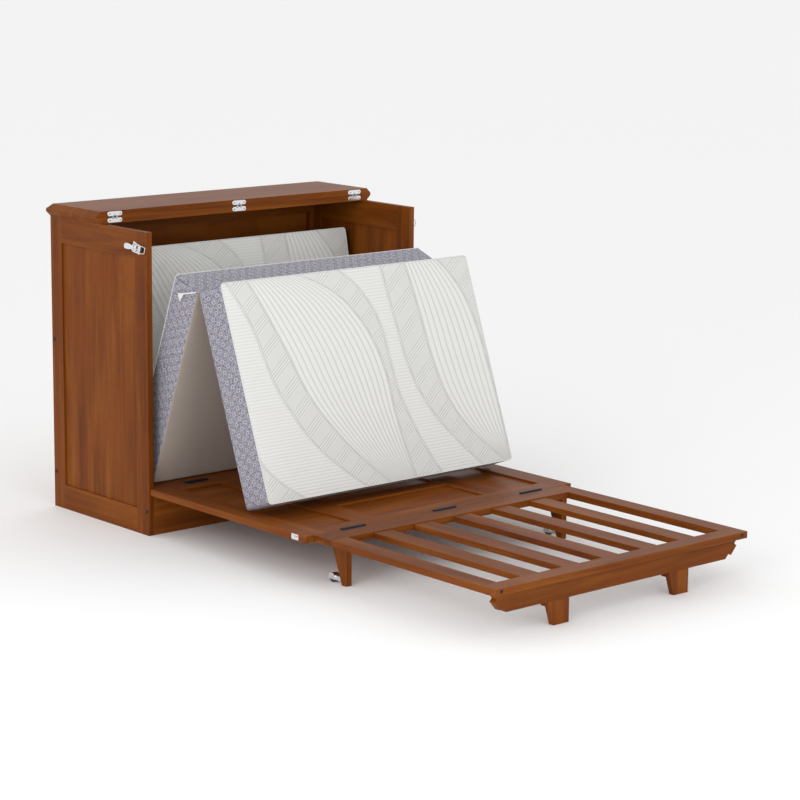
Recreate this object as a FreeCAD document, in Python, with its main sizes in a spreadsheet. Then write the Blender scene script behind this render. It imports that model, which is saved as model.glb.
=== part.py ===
import FreeCAD, Part
import math
import os
import re

import Sketcher

# A cabinet bed with its bed let down: a low cabinet whose front panel hinges down to the floor,
# a slatted foot section hinged to that panel, a folding lid board and a mattress in three folds.
# Millimetres. X is centred on the cabinet, +Z is up and the bed opens towards -Y.
# Heights start at the floor. Positions along Y are written from the cabinet's front plane, and
# front_plane moves them so that the open bed is centred on the origin.

sizes = {
    # cabinet carcass
    "mattress_side_room": 26,
    "cabinet_depth": 531,
    "side_height": 964,
    "side_thickness": 20,
    "front_stile_width": 62,
    "rear_stile_width": 61,
    "side_bottom_rail_width": 80,
    "side_top_rail_width": 83,
    "inset_thickness": 8,
    "groove_depth": 8,
    "groove_clearance": 0.2,
    "back_thickness": 6,
    "stretcher_width": 64,
    "stretcher_thickness": 20,
    "plinth_height": 132,
    "plinth_thickness": 20,
    "deck_thickness": 20,
    "cleat_size": 20,
    "edge_break": 1.2,
    # the two halves of the top
    "top_thickness": 20,
    "top_overhang": 16.6,
    "top_edge_flat": 4,
    "top_board_depth": 285,
    "lid_gap": 0.5,
    # front panel, which lies level when the bed is open
    "panel_side_gap": 5,
    "panel_length": 775,
    "panel_thickness": 21,
    "panel_gap": 1,
    "panel_stile_width": 78,
    "panel_near_rail_width": 65,
    "panel_far_rail_width": 66,
    "mullion_width": 91,
    "centre_inset_width": 450,
    "cross_rail_width": 55,
    # slatted foot section
    "slat_frame_setback": 36.6,
    "slat_frame_length": 771,
    "slat_gap": 1,
    "slat_rail_width": 60,
    "slat_near_rail_width": 78,
    "slat_end_rail_width": 58,
    "slat_width": 67,
    "slat_thickness": 18,
    "slat_pitch": 160,
    "slat_drop": 3,
    # apron and legs
    "apron_recess": 24,
    "apron_thickness": 20,
    "apron_bottom": 72,
    "apron_top_inset": 14.4,
    "apron_end_run": 52,
    "end_block_length": 34,
    "end_block_thickness": 11.5,
    "foot_leg_inset": 161,
    "foot_leg_width": 83,
    "foot_leg_toe_width": 60,
    "leg_cleat_thickness": 18,
    "leg_cleat_inset": 7,
    "middle_leg_inset": 60.4,
    "middle_leg_thickness": 21,
    "middle_leg_top_width": 74,
    "middle_leg_toe_width": 22,
    "middle_leg_setback": 1,
    # casters on the middle legs
    "wheel_radius": 12.5,
    "wheel_width": 15,
    "wheel_floor_gap": 1,
    "wheel_axle_radius": 2,
    "wheel_bore_clearance": 0.05,
    "wheel_offset": 6,
    "hood_clearance": 1.5,
    "hood_thickness": 1.6,
    "hood_side_clearance": 1,
    "hood_lip_drop": 3.1,
    "hood_arm_rise": 10,
    # lid hinges
    "lid_hinge_length": 58,
    "lid_hinge_reach": 18,
    "lid_hinge_thickness": 1.6,
    "lid_barrel_radius": 2.5,
    "lid_barrel_length": 22,
    "lid_pin_radius": 1.2,
    "lid_hinge_side_room": 55,
    # panel hinges and foot section hinges
    "panel_hinge_length": 90,
    "panel_hinge_reach": 22,
    "panel_hinge_thickness": 1.8,
    "panel_barrel_radius": 3.5,
    "panel_barrel_length": 88,
    "panel_pin_radius": 1.6,
    "panel_hinge_spacing": 366,
    "foot_hinge_length": 96,
    "foot_hinge_reach": 14,
    "foot_hinge_thickness": 1.8,
    "foot_barrel_radius": 4,
    "foot_barrel_length": 92,
    "foot_pin_radius": 1.6,
    "foot_hinge_spacing": 366,
    "foot_hinge_lift": 0.5,
    "pin_clearance": 0.05,
    "knuckle_gap": 0.3,
    "barrel_clearance": 0.6,
    # bolts
    "bolt_head_radius": 6,
    "bolt_head_height": 1.5,
    "bolt_socket_radius": 2.4,
    "bolt_recess": 0.4,
    "rear_bolt_inset": 11,
    "upper_bolt_height": 560,
    "lower_bolt_height": 118,
    "plinth_bolt_height": 77,
    "end_bolt_inset": 24.4,
    "end_bolt_drop": 9,
    # draw latches
    "latch_pivot_setback": 51,
    "latch_pivot_drop": 53,
    "latch_tilt": 17,
    "latch_pin_height": 7,
    "latch_pin_radius": 1.6,
    "latch_knuckle_radius": 3,
    "latch_base_length": 40,
    "latch_base_width": 30,
    "latch_plate_thickness": 1.6,
    "latch_ear_gap": 18.8,
    "lever_length": 54,
    "lever_width": 18,
    "lever_neck_setback": 14,
    "lever_neck_width": 13,
    "lever_shoulder_width": 20,
    "lever_tip_radius": 11,
    "lever_tube_radius": 2.6,
    "bail_offset": 12,
    "bail_wire_radius": 1.2,
    "bail_width": 26,
    "bail_length": 60,
    # catch plates on the edges of the front panel
    "catch_length": 32,
    "catch_height": 17,
    "catch_thickness": 2,
    "catch_far_inset": 32,
    "catch_drop": 1,
    "catch_hook_width": 14,
    "catch_hook_reach": 8,
    # mattress in three folds
    "mattress_width": 1010,
    "mattress_offset": 5,
    "mattress_fold_length": 690,
    "mattress_edge_thickness": 119,
    "mattress_crown": 3,
    "mattress_crown_inset": 45,
    "mattress_piping": 3,
    "mattress_piping_inset": 0.6,
    "mattress_side_draw": 2.5,
    "mattress_corner_radius": 22,
    "mattress_tilt": 20.4,
    "mattress_rear_tilt": 12,
    "mattress_corner_setback": 49,
    "mattress_floor_gap": 0.2,
    "fold_gap": 0.5,
    "bottom_strip_width": 5.4,
    "bottom_strip_height": 6,
    "top_strip_radius": 2,
    "strip_inset": 14,
}

# Places and sizes that follow from the driving ones.
derived = {
    "half_width": "mattress_width / 2 + mattress_side_room + side_thickness",
    "inner_half_width": "half_width - side_thickness",
    "deck_top": "plinth_height + deck_thickness",
    "back_inner": "cabinet_depth - back_thickness",
    "front_plane": "(foot_end - cabinet_depth) / 2",
    "groove_width": "inset_thickness + 2 * groove_clearance",
    "tongue": "groove_depth - groove_clearance",
    "joint_plane": "side_height + top_thickness",
    "cut_edge": "cabinet_depth - top_board_depth",
    "lid_axis_setback": "lid_gap / 2",
    "lid_axis_height": "joint_plane + lid_gap / 2",
    "panel_half_width": "half_width - panel_side_gap",
    "panel_far": "panel_gap + panel_length",
    "panel_bottom": "deck_top - panel_thickness",
    "panel_inset_near": "panel_gap + panel_near_rail_width",
    "panel_inset_far": "panel_far - panel_far_rail_width",
    "panel_inner_half": "panel_half_width - panel_stile_width",
    "mullion_inner": "centre_inset_width / 2",
    "mullion_outer": "mullion_inner + mullion_width",
    "inset_run": "panel_inset_far - panel_inset_near",
    "centre_inset_length": "(inset_run - 2 * cross_rail_width) / 3",
    "slat_half_width": "half_width - slat_frame_setback",
    "slat_near": "panel_far + slat_gap",
    "foot_end": "slat_near + slat_frame_length",
    "slat_inner_near": "slat_near + slat_near_rail_width",
    "slat_inner_far": "foot_end - slat_end_rail_width",
    "end_bolt_spacing": "slat_half_width - end_bolt_inset",
    "apron_top_half_width": "slat_half_width - apron_top_inset",
    "apron_bottom_half_width": "apron_top_half_width - apron_end_run",
    "foot_leg_outer": "apron_bottom_half_width - foot_leg_inset",
    "apron_front": "foot_end - apron_recess",
    "apron_back": "apron_front - apron_thickness",
    "middle_leg_outer": "slat_half_width - middle_leg_inset",
    "middle_leg_rear": "slat_near + middle_leg_setback",
    "middle_leg_front": "middle_leg_rear + middle_leg_top_width",
    "toe_rear": "middle_leg_front - middle_leg_toe_width",
    "wheel_height": "wheel_radius + wheel_floor_gap",
    "wheel_setback": "middle_leg_rear + wheel_offset",
    "wheel_centre": "middle_leg_outer - middle_leg_thickness / 2",
    "hood_inner_radius": "wheel_radius + hood_clearance",
    "hood_outer_radius": "hood_inner_radius + hood_thickness",
    "hood_inner_width": "wheel_width + 2 * hood_side_clearance",
    "hood_outer_width": "hood_inner_width + 2 * hood_thickness",
    "panel_axis_setback": "panel_gap / 2",
    "foot_axis_setback": "panel_far + slat_gap / 2",
    "foot_axis_height": "deck_top + foot_hinge_lift",
    "lid_hinge_spacing": "half_width - lid_hinge_side_room",
    "latch_pivot_height": "side_height - latch_pivot_drop",
    "mattress_thickness": "mattress_edge_thickness + mattress_crown",
    "mattress_bottom": "deck_top + mattress_floor_gap",
}

# Outward from the cabinet's middle: -1 on the left, +1 on the right, seen from the foot.
side_signs = {"left": -1, "right": 1}

x_axis = FreeCAD.Vector(1, 0, 0)
y_axis = FreeCAD.Vector(0, 1, 0)
z_axis = FreeCAD.Vector(0, 0, 1)

doc = FreeCAD.newDocument("cabinet_bed")
sheet = doc.addObject("Spreadsheet::Sheet", "sizes")
for row, (alias, size) in enumerate(sizes.items(), start=1):
    sheet.set("A%d" % row, alias.replace("_", " "))
    sheet.set("B%d" % row, str(size))
    sheet.setAlias("B%d" % row, alias)
doc.recompute()

nodes = {}
word_pattern = re.compile(r"[a-z][a-z_]*")


def full(text):
    """Spell a size expression out in the sheet's own aliases."""

    def swap(match):
        word = match.group(0)
        if word in derived:
            return "(" + full(derived[word]) + ")"
        if word in sizes:
            return "sizes." + word
        return word

    return word_pattern.sub(swap, str(text))


def value(text):
    """The number that a size expression gives with the sheet as it stands."""
    return float(sheet.evalExpression(full(text)))


def bind(item, name, text):
    item.setExpression(name, full(text))


def place(item, at, turn=None):
    """Put an item at a point, with Y measured from the cabinet's front plane."""
    across, depth, height = at
    if turn is not None:
        item.Placement = FreeCAD.Placement(FreeCAD.Vector(0, 0, 0), turn)
    bind(item, "Placement.Base.x", across)
    bind(item, "Placement.Base.y", "front_plane + (%s)" % depth)
    bind(item, "Placement.Base.z", height)


def frame_turn(toward, along):
    """Turn local X towards one direction and local Z along another."""
    return FreeCAD.Rotation(toward, along.cross(toward), along, "XYZ")


def node(item, label):
    item.Label = label
    nodes[label] = item
    return item


# ---- sketches, pads and primitives ----

def attached_sketch(body, role, lift="0"):
    """A sketch on one of the body's own origin planes, moved off it by lift."""
    sketch = body.newObject("Sketcher::SketchObject", "Outline")
    plane = [part for part in body.Origin.OriginFeatures if part.Role == role][0]
    sketch.AttachmentSupport = [(plane, "")]
    sketch.MapMode = "FlatFace"
    bind(sketch, "AttachmentOffset.Base.z", lift)
    return sketch


def draw_outline(sketch, points):
    """Straight lines through the points, each corner held by its own two distances."""
    corners = [FreeCAD.Vector(value(across), value(up), 0) for across, up in points]
    count = len(corners)
    for index in range(count):
        line = Part.LineSegment(corners[index], corners[(index + 1) % count])
        sketch.addGeometry(line, False)
    for index in range(count):
        join = Sketcher.Constraint("Coincident", index, 2, (index + 1) % count, 1)
        sketch.addConstraint(join)
    for index, (across, up) in enumerate(points):
        for kind, text, size in (("DistanceX", across, corners[index].x),
                                 ("DistanceY", up, corners[index].y)):
            number = sketch.addConstraint(Sketcher.Constraint(kind, -1, 1, index, 1, size))
            bind(sketch, "Constraints[%d]" % number, text)


def pad_outline(body, role, points, depth, lift="0", reverse=False):
    sketch = attached_sketch(body, role, lift)
    draw_outline(sketch, points)
    pad = body.newObject("PartDesign::Pad", "Pad")
    pad.Profile = sketch
    pad.Reversed = reverse
    bind(pad, "Length", depth)
    return pad


def ease_edges(body, feature):
    """Take the sharp arris off every edge of a plain board."""
    chamfer = body.newObject("PartDesign::Chamfer", "EasedEdges")
    chamfer.Base = (feature, ["Edge1"])
    chamfer.UseAllEdges = True
    bind(chamfer, "Size", "edge_break")
    return chamfer


def profile_board(name, role, points, depth, at, lift="0", reverse=False, eased=True):
    """A board sawn to an outline and as thick as depth."""
    body = doc.addObject("PartDesign::Body", name)
    pad = pad_outline(body, role, points, depth, lift, reverse)
    if eased:
        ease_edges(body, pad)
    place(body, at)
    return body


def board(name, low, high, eased=False):
    """A straight board between two corners, each corner given as three expressions."""
    spans = ["(%s) - (%s)" % (end, start) for start, end in zip(low, high)]
    length, depth, height = spans
    points = [("0", "0"), (length, "0"), (length, depth), ("0", depth)]
    return profile_board(name, "XY_Plane", points, height, low, eased=eased)


def grooved_member(name, length, width, thickness, at, along, toward, tenons=False, double=False):
    """A frame member: its edge is grooved for the inset panel, its ends may carry stub tenons.

    The member runs along one direction and its grooved edge faces another. A double one is
    grooved on both edges.
    """
    cheek = "((%s) - groove_width) / 2" % thickness
    far_cheek = "((%s) + groove_width) / 2" % thickness
    bottom = "(%s) - groove_depth" % width
    points = [("0", "0"), (width, "0"), (width, cheek), (bottom, cheek),
              (bottom, far_cheek), (width, far_cheek), (width, thickness), ("0", thickness)]
    if double:
        points += [("0", far_cheek), ("groove_depth", far_cheek),
                   ("groove_depth", cheek), ("0", cheek)]
    body = doc.addObject("PartDesign::Body", name)
    pad_outline(body, "XY_Plane", points, length)
    if tenons:
        start = "groove_depth" if double else "0"
        low = "((%s) - inset_thickness) / 2" % thickness
        high = "((%s) + inset_thickness) / 2" % thickness
        tongue = [(start, low), (bottom, low), (bottom, high), (start, high)]
        pad_outline(body, "XY_Plane", tongue, "(%s) + 2 * tongue" % length, "-tongue")
    place(body, at, frame_turn(toward, along))
    return body


def local_box(low, high):
    """A block in a piece's own frame, not moved by the front plane."""
    item = doc.addObject("Part::Box", "Block")
    for name, axis, start, end in zip(("Length", "Width", "Height"), "xyz", low, high):
        bind(item, name, "(%s) - (%s)" % (end, start))
        bind(item, "Placement.Base." + axis, start)
    return item


def local_rod(radius, start, length, at=("0", "0"), along="x", flats=0):
    """A bar in a piece's own frame, along X or Y: round, or with a number of flats."""
    item = doc.addObject("Part::Prism" if flats else "Part::Cylinder", "Rod")
    if flats:
        item.Polygon = flats
    bind(item, "Circumradius" if flats else "Radius", radius)
    bind(item, "Height", length)
    if along == "x":
        item.Placement.Rotation = FreeCAD.Rotation(y_axis, 90)
        spots = (start, at[0], at[1])
    else:
        item.Placement.Rotation = FreeCAD.Rotation(x_axis, -90)
        spots = (at[0], start, at[1])
    for axis, spot in zip("xyz", spots):
        bind(item, "Placement.Base." + axis, spot)
    return item


def fuse(name, pieces):
    item = doc.addObject("Part::MultiFuse", name)
    item.Shapes = pieces
    item.Refine = True
    return item


def cut(name, base, tool):
    item = doc.addObject("Part::Cut", name)
    item.Base = base
    item.Tool = tool
    item.Refine = True
    return item


def group(name, pieces):
    item = doc.addObject("Part::Compound", name)
    item.Links = pieces
    return item


def placed_copy(source, at, turn=None):
    """The same piece again at another place, kept tied to the first."""
    item = doc.addObject("Part::Compound", source.Name + "_copy")
    item.Links = [source]
    place(item, at, turn)
    return item


# ---- cabinet carcass ----

def make_side(name, sign):
    """One frame-and-panel side: two stiles, two rails with stub tenons and the inset panel."""
    outer = "%d * half_width" % sign
    inner = "%d * inner_half_width" % sign
    low_x, high_x = (outer, inner) if sign < 0 else (inner, outer)
    front = grooved_member(name + "_front_stile_body", "side_height", "front_stile_width",
                           "side_thickness", (high_x, "0", "0"), z_axis, y_axis)
    rear = grooved_member(name + "_rear_stile_body", "side_height", "rear_stile_width",
                          "side_thickness", (low_x, "cabinet_depth", "0"), z_axis, -y_axis)
    run = "cabinet_depth - front_stile_width - rear_stile_width"
    bottom = grooved_member(name + "_bottom_rail", run, "side_bottom_rail_width",
                            "side_thickness", (low_x, "front_stile_width", "0"),
                            y_axis, z_axis, tenons=True)
    top = grooved_member(name + "_top_rail", run, "side_top_rail_width", "side_thickness",
                         (high_x, "front_stile_width", "side_height"),
                         y_axis, -z_axis, tenons=True)
    inset = "(side_thickness - inset_thickness) / 2"
    low = ("%s + %s" % (low_x, inset), "front_stile_width - tongue",
           "side_bottom_rail_width - tongue")
    high = ("%s - %s" % (high_x, inset), "cabinet_depth - rear_stile_width + tongue",
            "side_height - side_top_rail_width + tongue")
    node(front, name + "_front_stile")
    node(rear, name + "_rear_stile")
    node(group(name + "_rails", [bottom, top]), name + "_side_rails")
    node(board(name + "_inset", low, high), name + "_side_panel")


def make_carcass():
    half = "inner_half_width"
    back = "back_inner"
    behind = "back_inner - stretcher_thickness"
    node(board("back", ("-" + half, back, "0"), (half, "cabinet_depth", "side_height")),
         "back_panel")
    node(board("top_stretcher", ("-" + half, behind, "side_height - stretcher_width"),
               (half, back, "side_height")), "back_top_stretcher")
    node(board("bottom_stretcher", ("-" + half, behind, "plinth_height - stretcher_width"),
               (half, back, "plinth_height")), "back_bottom_stretcher")
    posts = []
    cleats = []
    for name, sign in side_signs.items():
        inner = "%d * inner_half_width" % sign
        clear = "%d * (inner_half_width - cleat_size)" % sign
        low_x, high_x = (inner, clear) if sign < 0 else (clear, inner)
        posts.append(board(name + "_post", (low_x, behind, "deck_top"),
                           (high_x, back, "side_height - stretcher_width")))
        cleats.append(board(name + "_cleat", (low_x, "plinth_thickness", "plinth_height - cleat_size"),
                            (high_x, behind, "plinth_height")))
    node(group("posts", posts), "back_corner_posts")
    front_cleat = board("front_cleat",
                        ("-(inner_half_width - cleat_size)", "plinth_thickness",
                         "plinth_height - cleat_size"),
                        ("inner_half_width - cleat_size", "plinth_thickness + cleat_size",
                         "plinth_height"))
    support = board("deck_support", ("-cleat_size / 2", "plinth_thickness + cleat_size", "0"),
                    ("cleat_size / 2", behind, "plinth_height"))
    node(group("cleats", cleats + [front_cleat, support]), "deck_cleats")
    node(board("plinth", ("-" + half, "0", "0"), (half, "plinth_thickness", "plinth_height")),
         "plinth_board")


def make_cabinet_bolts():
    """Low round bolt heads where the sides are held to the posts, stretcher and plinth."""
    rear = "cabinet_depth - rear_bolt_inset"
    spots = ((rear, "upper_bolt_height"), (rear, "lower_bolt_height"),
             ("plinth_thickness / 2", "plinth_bolt_height"))
    heads = []
    for sign in side_signs.values():
        for depth, height in spots:
            start = "0" if sign > 0 else "-bolt_head_height"
            head = bolt_head(start, "0" if sign < 0 else "bolt_recess", "x")
            heads.append(placed_copy(head, ("%d * half_width" % sign, depth, height)))
    node(group("side_bolts", heads), "cabinet_bolts")


def bolt_head(start, socket_shift, along):
    """A round head with a hexagon socket, its outer end at start or at start + height."""
    head = local_rod("bolt_head_radius", start, "bolt_head_height", along=along)
    socket_start = "(%s) + (%s)" % (start, socket_shift)
    socket = local_rod("bolt_socket_radius", socket_start, "bolt_head_height - bolt_recess",
                       along=along, flats=6)
    return cut("bolt", head, socket)


# ---- hinges ----

def hinge_leaf(name, kind, top, own_knuckles):
    """One leaf: a plate let in flush, with knuckles round the pin's axis, which is local X.

    The plate reaches towards local +Y and its outer face lies at local Z = -top. The barrel has
    three knuckles: the middle one belongs to one leaf and the outer two to the other.
    """
    length = kind + "_hinge_length"
    reach = kind + "_hinge_reach"
    thick = kind + "_hinge_thickness"
    radius = kind + "_barrel_radius"
    barrel = kind + "_barrel_length"
    start = "%s + barrel_clearance" % radius
    plate = local_box(("-%s / 2" % length, start, "-(%s) - %s" % (top, thick)),
                      ("%s / 2" % length, reach, "-(%s)" % top))
    third = "(%s - 2 * knuckle_gap) / 3" % barrel
    spots = [("-(%s) / 2" % third, third)]
    if own_knuckles == "outer":
        spots = [("-%s / 2" % barrel, third), ("%s / 2 - (%s)" % (barrel, third), third)]
    pieces = [plate]
    for spot, run in spots:
        pieces.append(local_rod(radius, spot, run))
        pieces.append(local_box((spot, "0", "-(%s) - %s" % (top, thick)),
                                ("(%s) + %s" % (spot, run), start, "-(%s)" % top)))
    bore = local_rod("%s_pin_radius + pin_clearance" % kind, "-%s" % barrel, "2 * %s" % barrel)
    return cut(name, fuse(name + "_solid", pieces), bore)


def hinge_seat(kind, top):
    """The room that a leaf and the whole barrel take out of a board."""
    length = kind + "_hinge_length"
    radius = kind + "_barrel_radius"
    barrel = kind + "_barrel_length"
    depth = "-(%s) - %s_hinge_thickness" % (top, kind)
    above = "%s + barrel_clearance" % radius
    mortise = local_box(("-%s / 2 - knuckle_gap" % length, "%s" % radius, depth),
                        ("%s / 2 + knuckle_gap" % length, "%s_hinge_reach + knuckle_gap" % kind,
                         above))
    throat = local_box(("-%s / 2 - knuckle_gap" % barrel, "-" + radius, depth),
                       ("%s / 2 + knuckle_gap" % barrel, radius, above))
    round_room = local_rod("%s + barrel_clearance" % radius, "-%s / 2 - knuckle_gap" % barrel,
                           "%s + 2 * knuckle_gap" % barrel)
    return fuse("seat", [mortise, throat, round_room])


hinge_steps = {"lid": (-1, 0, 1), "panel": (-1, 1), "foot": (-1, 0, 1)}


def hinge_row(name, piece, kind, axis_at, turn):
    """The same piece at each hinge along the axis."""
    copies = []
    depth, height = axis_at
    for step in hinge_steps[kind]:
        spot = ("%d * %s_hinge_spacing" % (step, kind), depth, height)
        copies.append(placed_copy(piece, spot, turn))
    return group(name, copies)


def pin_row(name, kind, axis_at):
    pin = local_rod("%s_pin_radius" % kind, "-%s_barrel_length / 2" % kind,
                    "%s_barrel_length" % kind)
    return hinge_row(name, pin, kind, axis_at, FreeCAD.Rotation())


lid_axis = ("cut_edge - lid_axis_setback", "lid_axis_height")
panel_axis = ("-panel_axis_setback", "deck_top")
foot_axis = ("-foot_axis_setback", "foot_axis_height")


def make_top():
    """Two equal boards, chamfered under the overhang; the upper one folds forward as the lid."""
    edge = "top_thickness - top_edge_flat"
    wide = "half_width + top_overhang"
    fixed_points = [("-half_width", "0"), ("half_width", "0"), (wide, edge),
                    (wide, "top_thickness"), ("-(%s)" % wide, "top_thickness"),
                    ("-(%s)" % wide, edge)]
    fixed = profile_board("fixed_top", "XZ_Plane", fixed_points, "top_board_depth",
                          ("0", "cut_edge", "side_height"), reverse=True, eased=False)
    lid_points = [("-(%s)" % wide, "0"), (wide, "0"), (wide, "top_edge_flat"),
                  ("half_width", "top_thickness"), ("-half_width", "top_thickness"),
                  ("-(%s)" % wide, "top_edge_flat")]
    lid = doc.addObject("PartDesign::Body", "lid_board")
    pad_outline(lid, "XZ_Plane", lid_points, "top_board_depth", reverse=True)
    slope = attached_sketch(lid, "YZ_Plane", "-(%s)" % wide)
    draw_outline(slope, [("top_board_depth", "top_edge_flat"), ("top_board_depth", "top_thickness"),
                         ("top_board_depth - top_overhang", "top_thickness")])
    doc.recompute()
    whole = lid.Shape.Volume
    bevel = lid.newObject("PartDesign::Pocket", "FrontBevel")
    bevel.Profile = slope
    bevel.Reversed = True
    bind(bevel, "Length", "2 * (%s)" % wide)
    place(lid, ("0", "cut_edge", "joint_plane + lid_gap"))
    doc.recompute()
    if lid.Shape.Volume >= whole:
        raise ValueError("the lid's front bevel cuts nothing")

    down = frame_turn(-x_axis, -y_axis)
    up = frame_turn(x_axis, -y_axis)
    seats_down = hinge_row("lid_seats_fixed", hinge_seat("lid", "lid_axis_setback"), "lid",
                           lid_axis, down)
    seats_up = hinge_row("lid_seats_moving", hinge_seat("lid", "lid_axis_setback"), "lid",
                         lid_axis, up)
    node(cut("fixed_top_cut", fixed, seats_down), "fixed_top_board")
    node(cut("lid_cut", lid, seats_up), "folding_lid_board")
    fixed_leaf = hinge_leaf("lid_leaf_outer", "lid", "lid_axis_setback", "outer")
    moving_leaf = hinge_leaf("lid_leaf_middle", "lid", "lid_axis_setback", "middle")
    node(hinge_row("lid_fixed_row", fixed_leaf, "lid", lid_axis, down), "lid_hinge_fixed_leaves")
    node(hinge_row("lid_moving_row", moving_leaf, "lid", lid_axis, up), "lid_hinge_moving_leaves")


def make_deck():
    deck = board("deck", ("-inner_half_width", "0", "plinth_height"),
                 ("inner_half_width", "back_inner", "deck_top"))
    level = FreeCAD.Rotation()
    seats = hinge_row("deck_seats", hinge_seat("panel", "0"), "panel", panel_axis, level)
    node(cut("deck_cut", deck, seats), "deck_board")
    leaf = hinge_leaf("panel_leaf_outer", "panel", "0", "outer")
    node(hinge_row("panel_leaf_row", leaf, "panel", panel_axis, level),
         "panel_hinge_cabinet_leaves")
    pins = [pin_row("lid_pins", "lid", lid_axis), pin_row("panel_pins", "panel", panel_axis)]
    node(group("cabinet_pins", pins), "cabinet_hinge_pins")


# ---- front panel, lying level ----

def make_front_panel():
    """A framed panel: three small insets in the middle column and a long one on each side."""
    width = "panel_thickness"
    left = grooved_member("panel_left", "panel_length", "panel_stile_width", width,
                          ("-panel_half_width", "-panel_far", "deck_top"), y_axis, x_axis)
    right = grooved_member("panel_right", "panel_length", "panel_stile_width", width,
                           ("panel_half_width", "-panel_far", "panel_bottom"), y_axis, -x_axis)
    run = "2 * panel_inner_half"
    near = grooved_member("panel_near", run, "panel_near_rail_width", width,
                          ("-panel_inner_half", "-panel_gap", "deck_top"),
                          x_axis, -y_axis, tenons=True)
    far = grooved_member("panel_far_rail", run, "panel_far_rail_width", width,
                         ("-panel_inner_half", "-panel_far", "panel_bottom"),
                         x_axis, y_axis, tenons=True)
    dividers = []
    for start in ("-mullion_outer", "mullion_inner"):
        dividers.append(grooved_member("mullion", "inset_run", "mullion_width", width,
                                       (start, "-panel_inset_far", "deck_top"),
                                       y_axis, x_axis, tenons=True, double=True))
    step = "(centre_inset_length + cross_rail_width)"
    for index in (1, 2):
        spot = "-panel_inset_near - %d * %s" % (index, step)
        dividers.append(grooved_member("cross_rail", "centre_inset_width", "cross_rail_width",
                                       width, ("-mullion_inner", spot, "panel_bottom"),
                                       x_axis, y_axis, tenons=True, double=True))

    low_z = "deck_top - (panel_thickness + inset_thickness) / 2"
    high_z = "deck_top - (panel_thickness - inset_thickness) / 2"
    insets = []
    for start, end in (("-panel_inner_half", "-mullion_outer"),
                       ("mullion_outer", "panel_inner_half")):
        insets.append(board("long_inset", (start + " - tongue", "-panel_inset_far - tongue", low_z),
                            (end + " + tongue", "-panel_inset_near + tongue", high_z)))
    for index in range(3):
        far_edge = "-panel_inset_near - %d * %s - centre_inset_length" % (index, step)
        insets.append(board("short_inset",
                            ("-mullion_inner - tongue", far_edge + " - tongue", low_z),
                            ("mullion_inner + tongue",
                             far_edge + " + centre_inset_length + tongue", high_z)))

    away = FreeCAD.Rotation(z_axis, 180)
    level = FreeCAD.Rotation()
    near_seats = hinge_row("near_seats", hinge_seat("panel", "0"), "panel", panel_axis, away)
    far_seats = hinge_row("far_seats", hinge_seat("foot", "foot_hinge_lift"), "foot",
                          foot_axis, level)
    node(left, "front_panel_left_stile")
    node(right, "front_panel_right_stile")
    node(cut("near_cut", near, near_seats), "front_panel_near_rail")
    node(cut("far_cut", far, far_seats), "front_panel_far_rail")
    node(group("dividers", dividers), "front_panel_mullions")
    node(group("insets", insets), "front_panel_insets")
    near_leaf = hinge_leaf("panel_leaf_middle", "panel", "0", "middle")
    node(hinge_row("near_leaves", near_leaf, "panel", panel_axis, away),
         "panel_hinge_panel_leaves")
    far_leaf = hinge_leaf("foot_leaf_outer", "foot", "foot_hinge_lift", "outer")
    node(hinge_row("far_leaves", far_leaf, "foot", foot_axis, level), "flush_hinge_panel_leaves")
    node(pin_row("foot_pins", "foot", foot_axis), "flush_hinge_pins")


def make_catches():
    """Plates on the panel's edges, each with a hook that opens away from the cabinet."""
    hooks = []
    arm = "catch_thickness"
    points = [("0", "0"), (arm, "0"), (arm, "catch_height - 2 * catch_thickness"),
              ("catch_hook_reach", "catch_height - 2 * catch_thickness"),
              ("catch_hook_reach", "catch_height / 2 - catch_thickness"),
              ("catch_hook_reach + catch_thickness", "catch_height / 2 - catch_thickness"),
              ("catch_hook_reach + catch_thickness", "catch_height - catch_thickness"),
              (arm, "catch_height - catch_thickness"), (arm, "catch_height"), ("0", "catch_height")]
    for name, sign in side_signs.items():
        plate = local_box(("0", "-catch_length / 2", "0"), (arm, "catch_length / 2", "catch_height"))
        body = doc.addObject("PartDesign::Body", name + "_hook")
        pad_outline(body, "XZ_Plane", points, "catch_hook_width", "-catch_hook_width / 2")
        whole = fuse(name + "_catch", [plate, body])
        turned = doc.addObject("Part::Mirroring", name + "_catch_side")
        turned.Source = whole
        turned.Normal = x_axis
        spot = ("%d * panel_half_width" % sign, "-panel_far + catch_far_inset + catch_length / 2",
                "deck_top - catch_drop - catch_height")
        hooks.append(placed_copy(whole if sign > 0 else turned, spot))
    node(group("catches", hooks), "catch_plates")


# ---- slatted foot section ----

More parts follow.
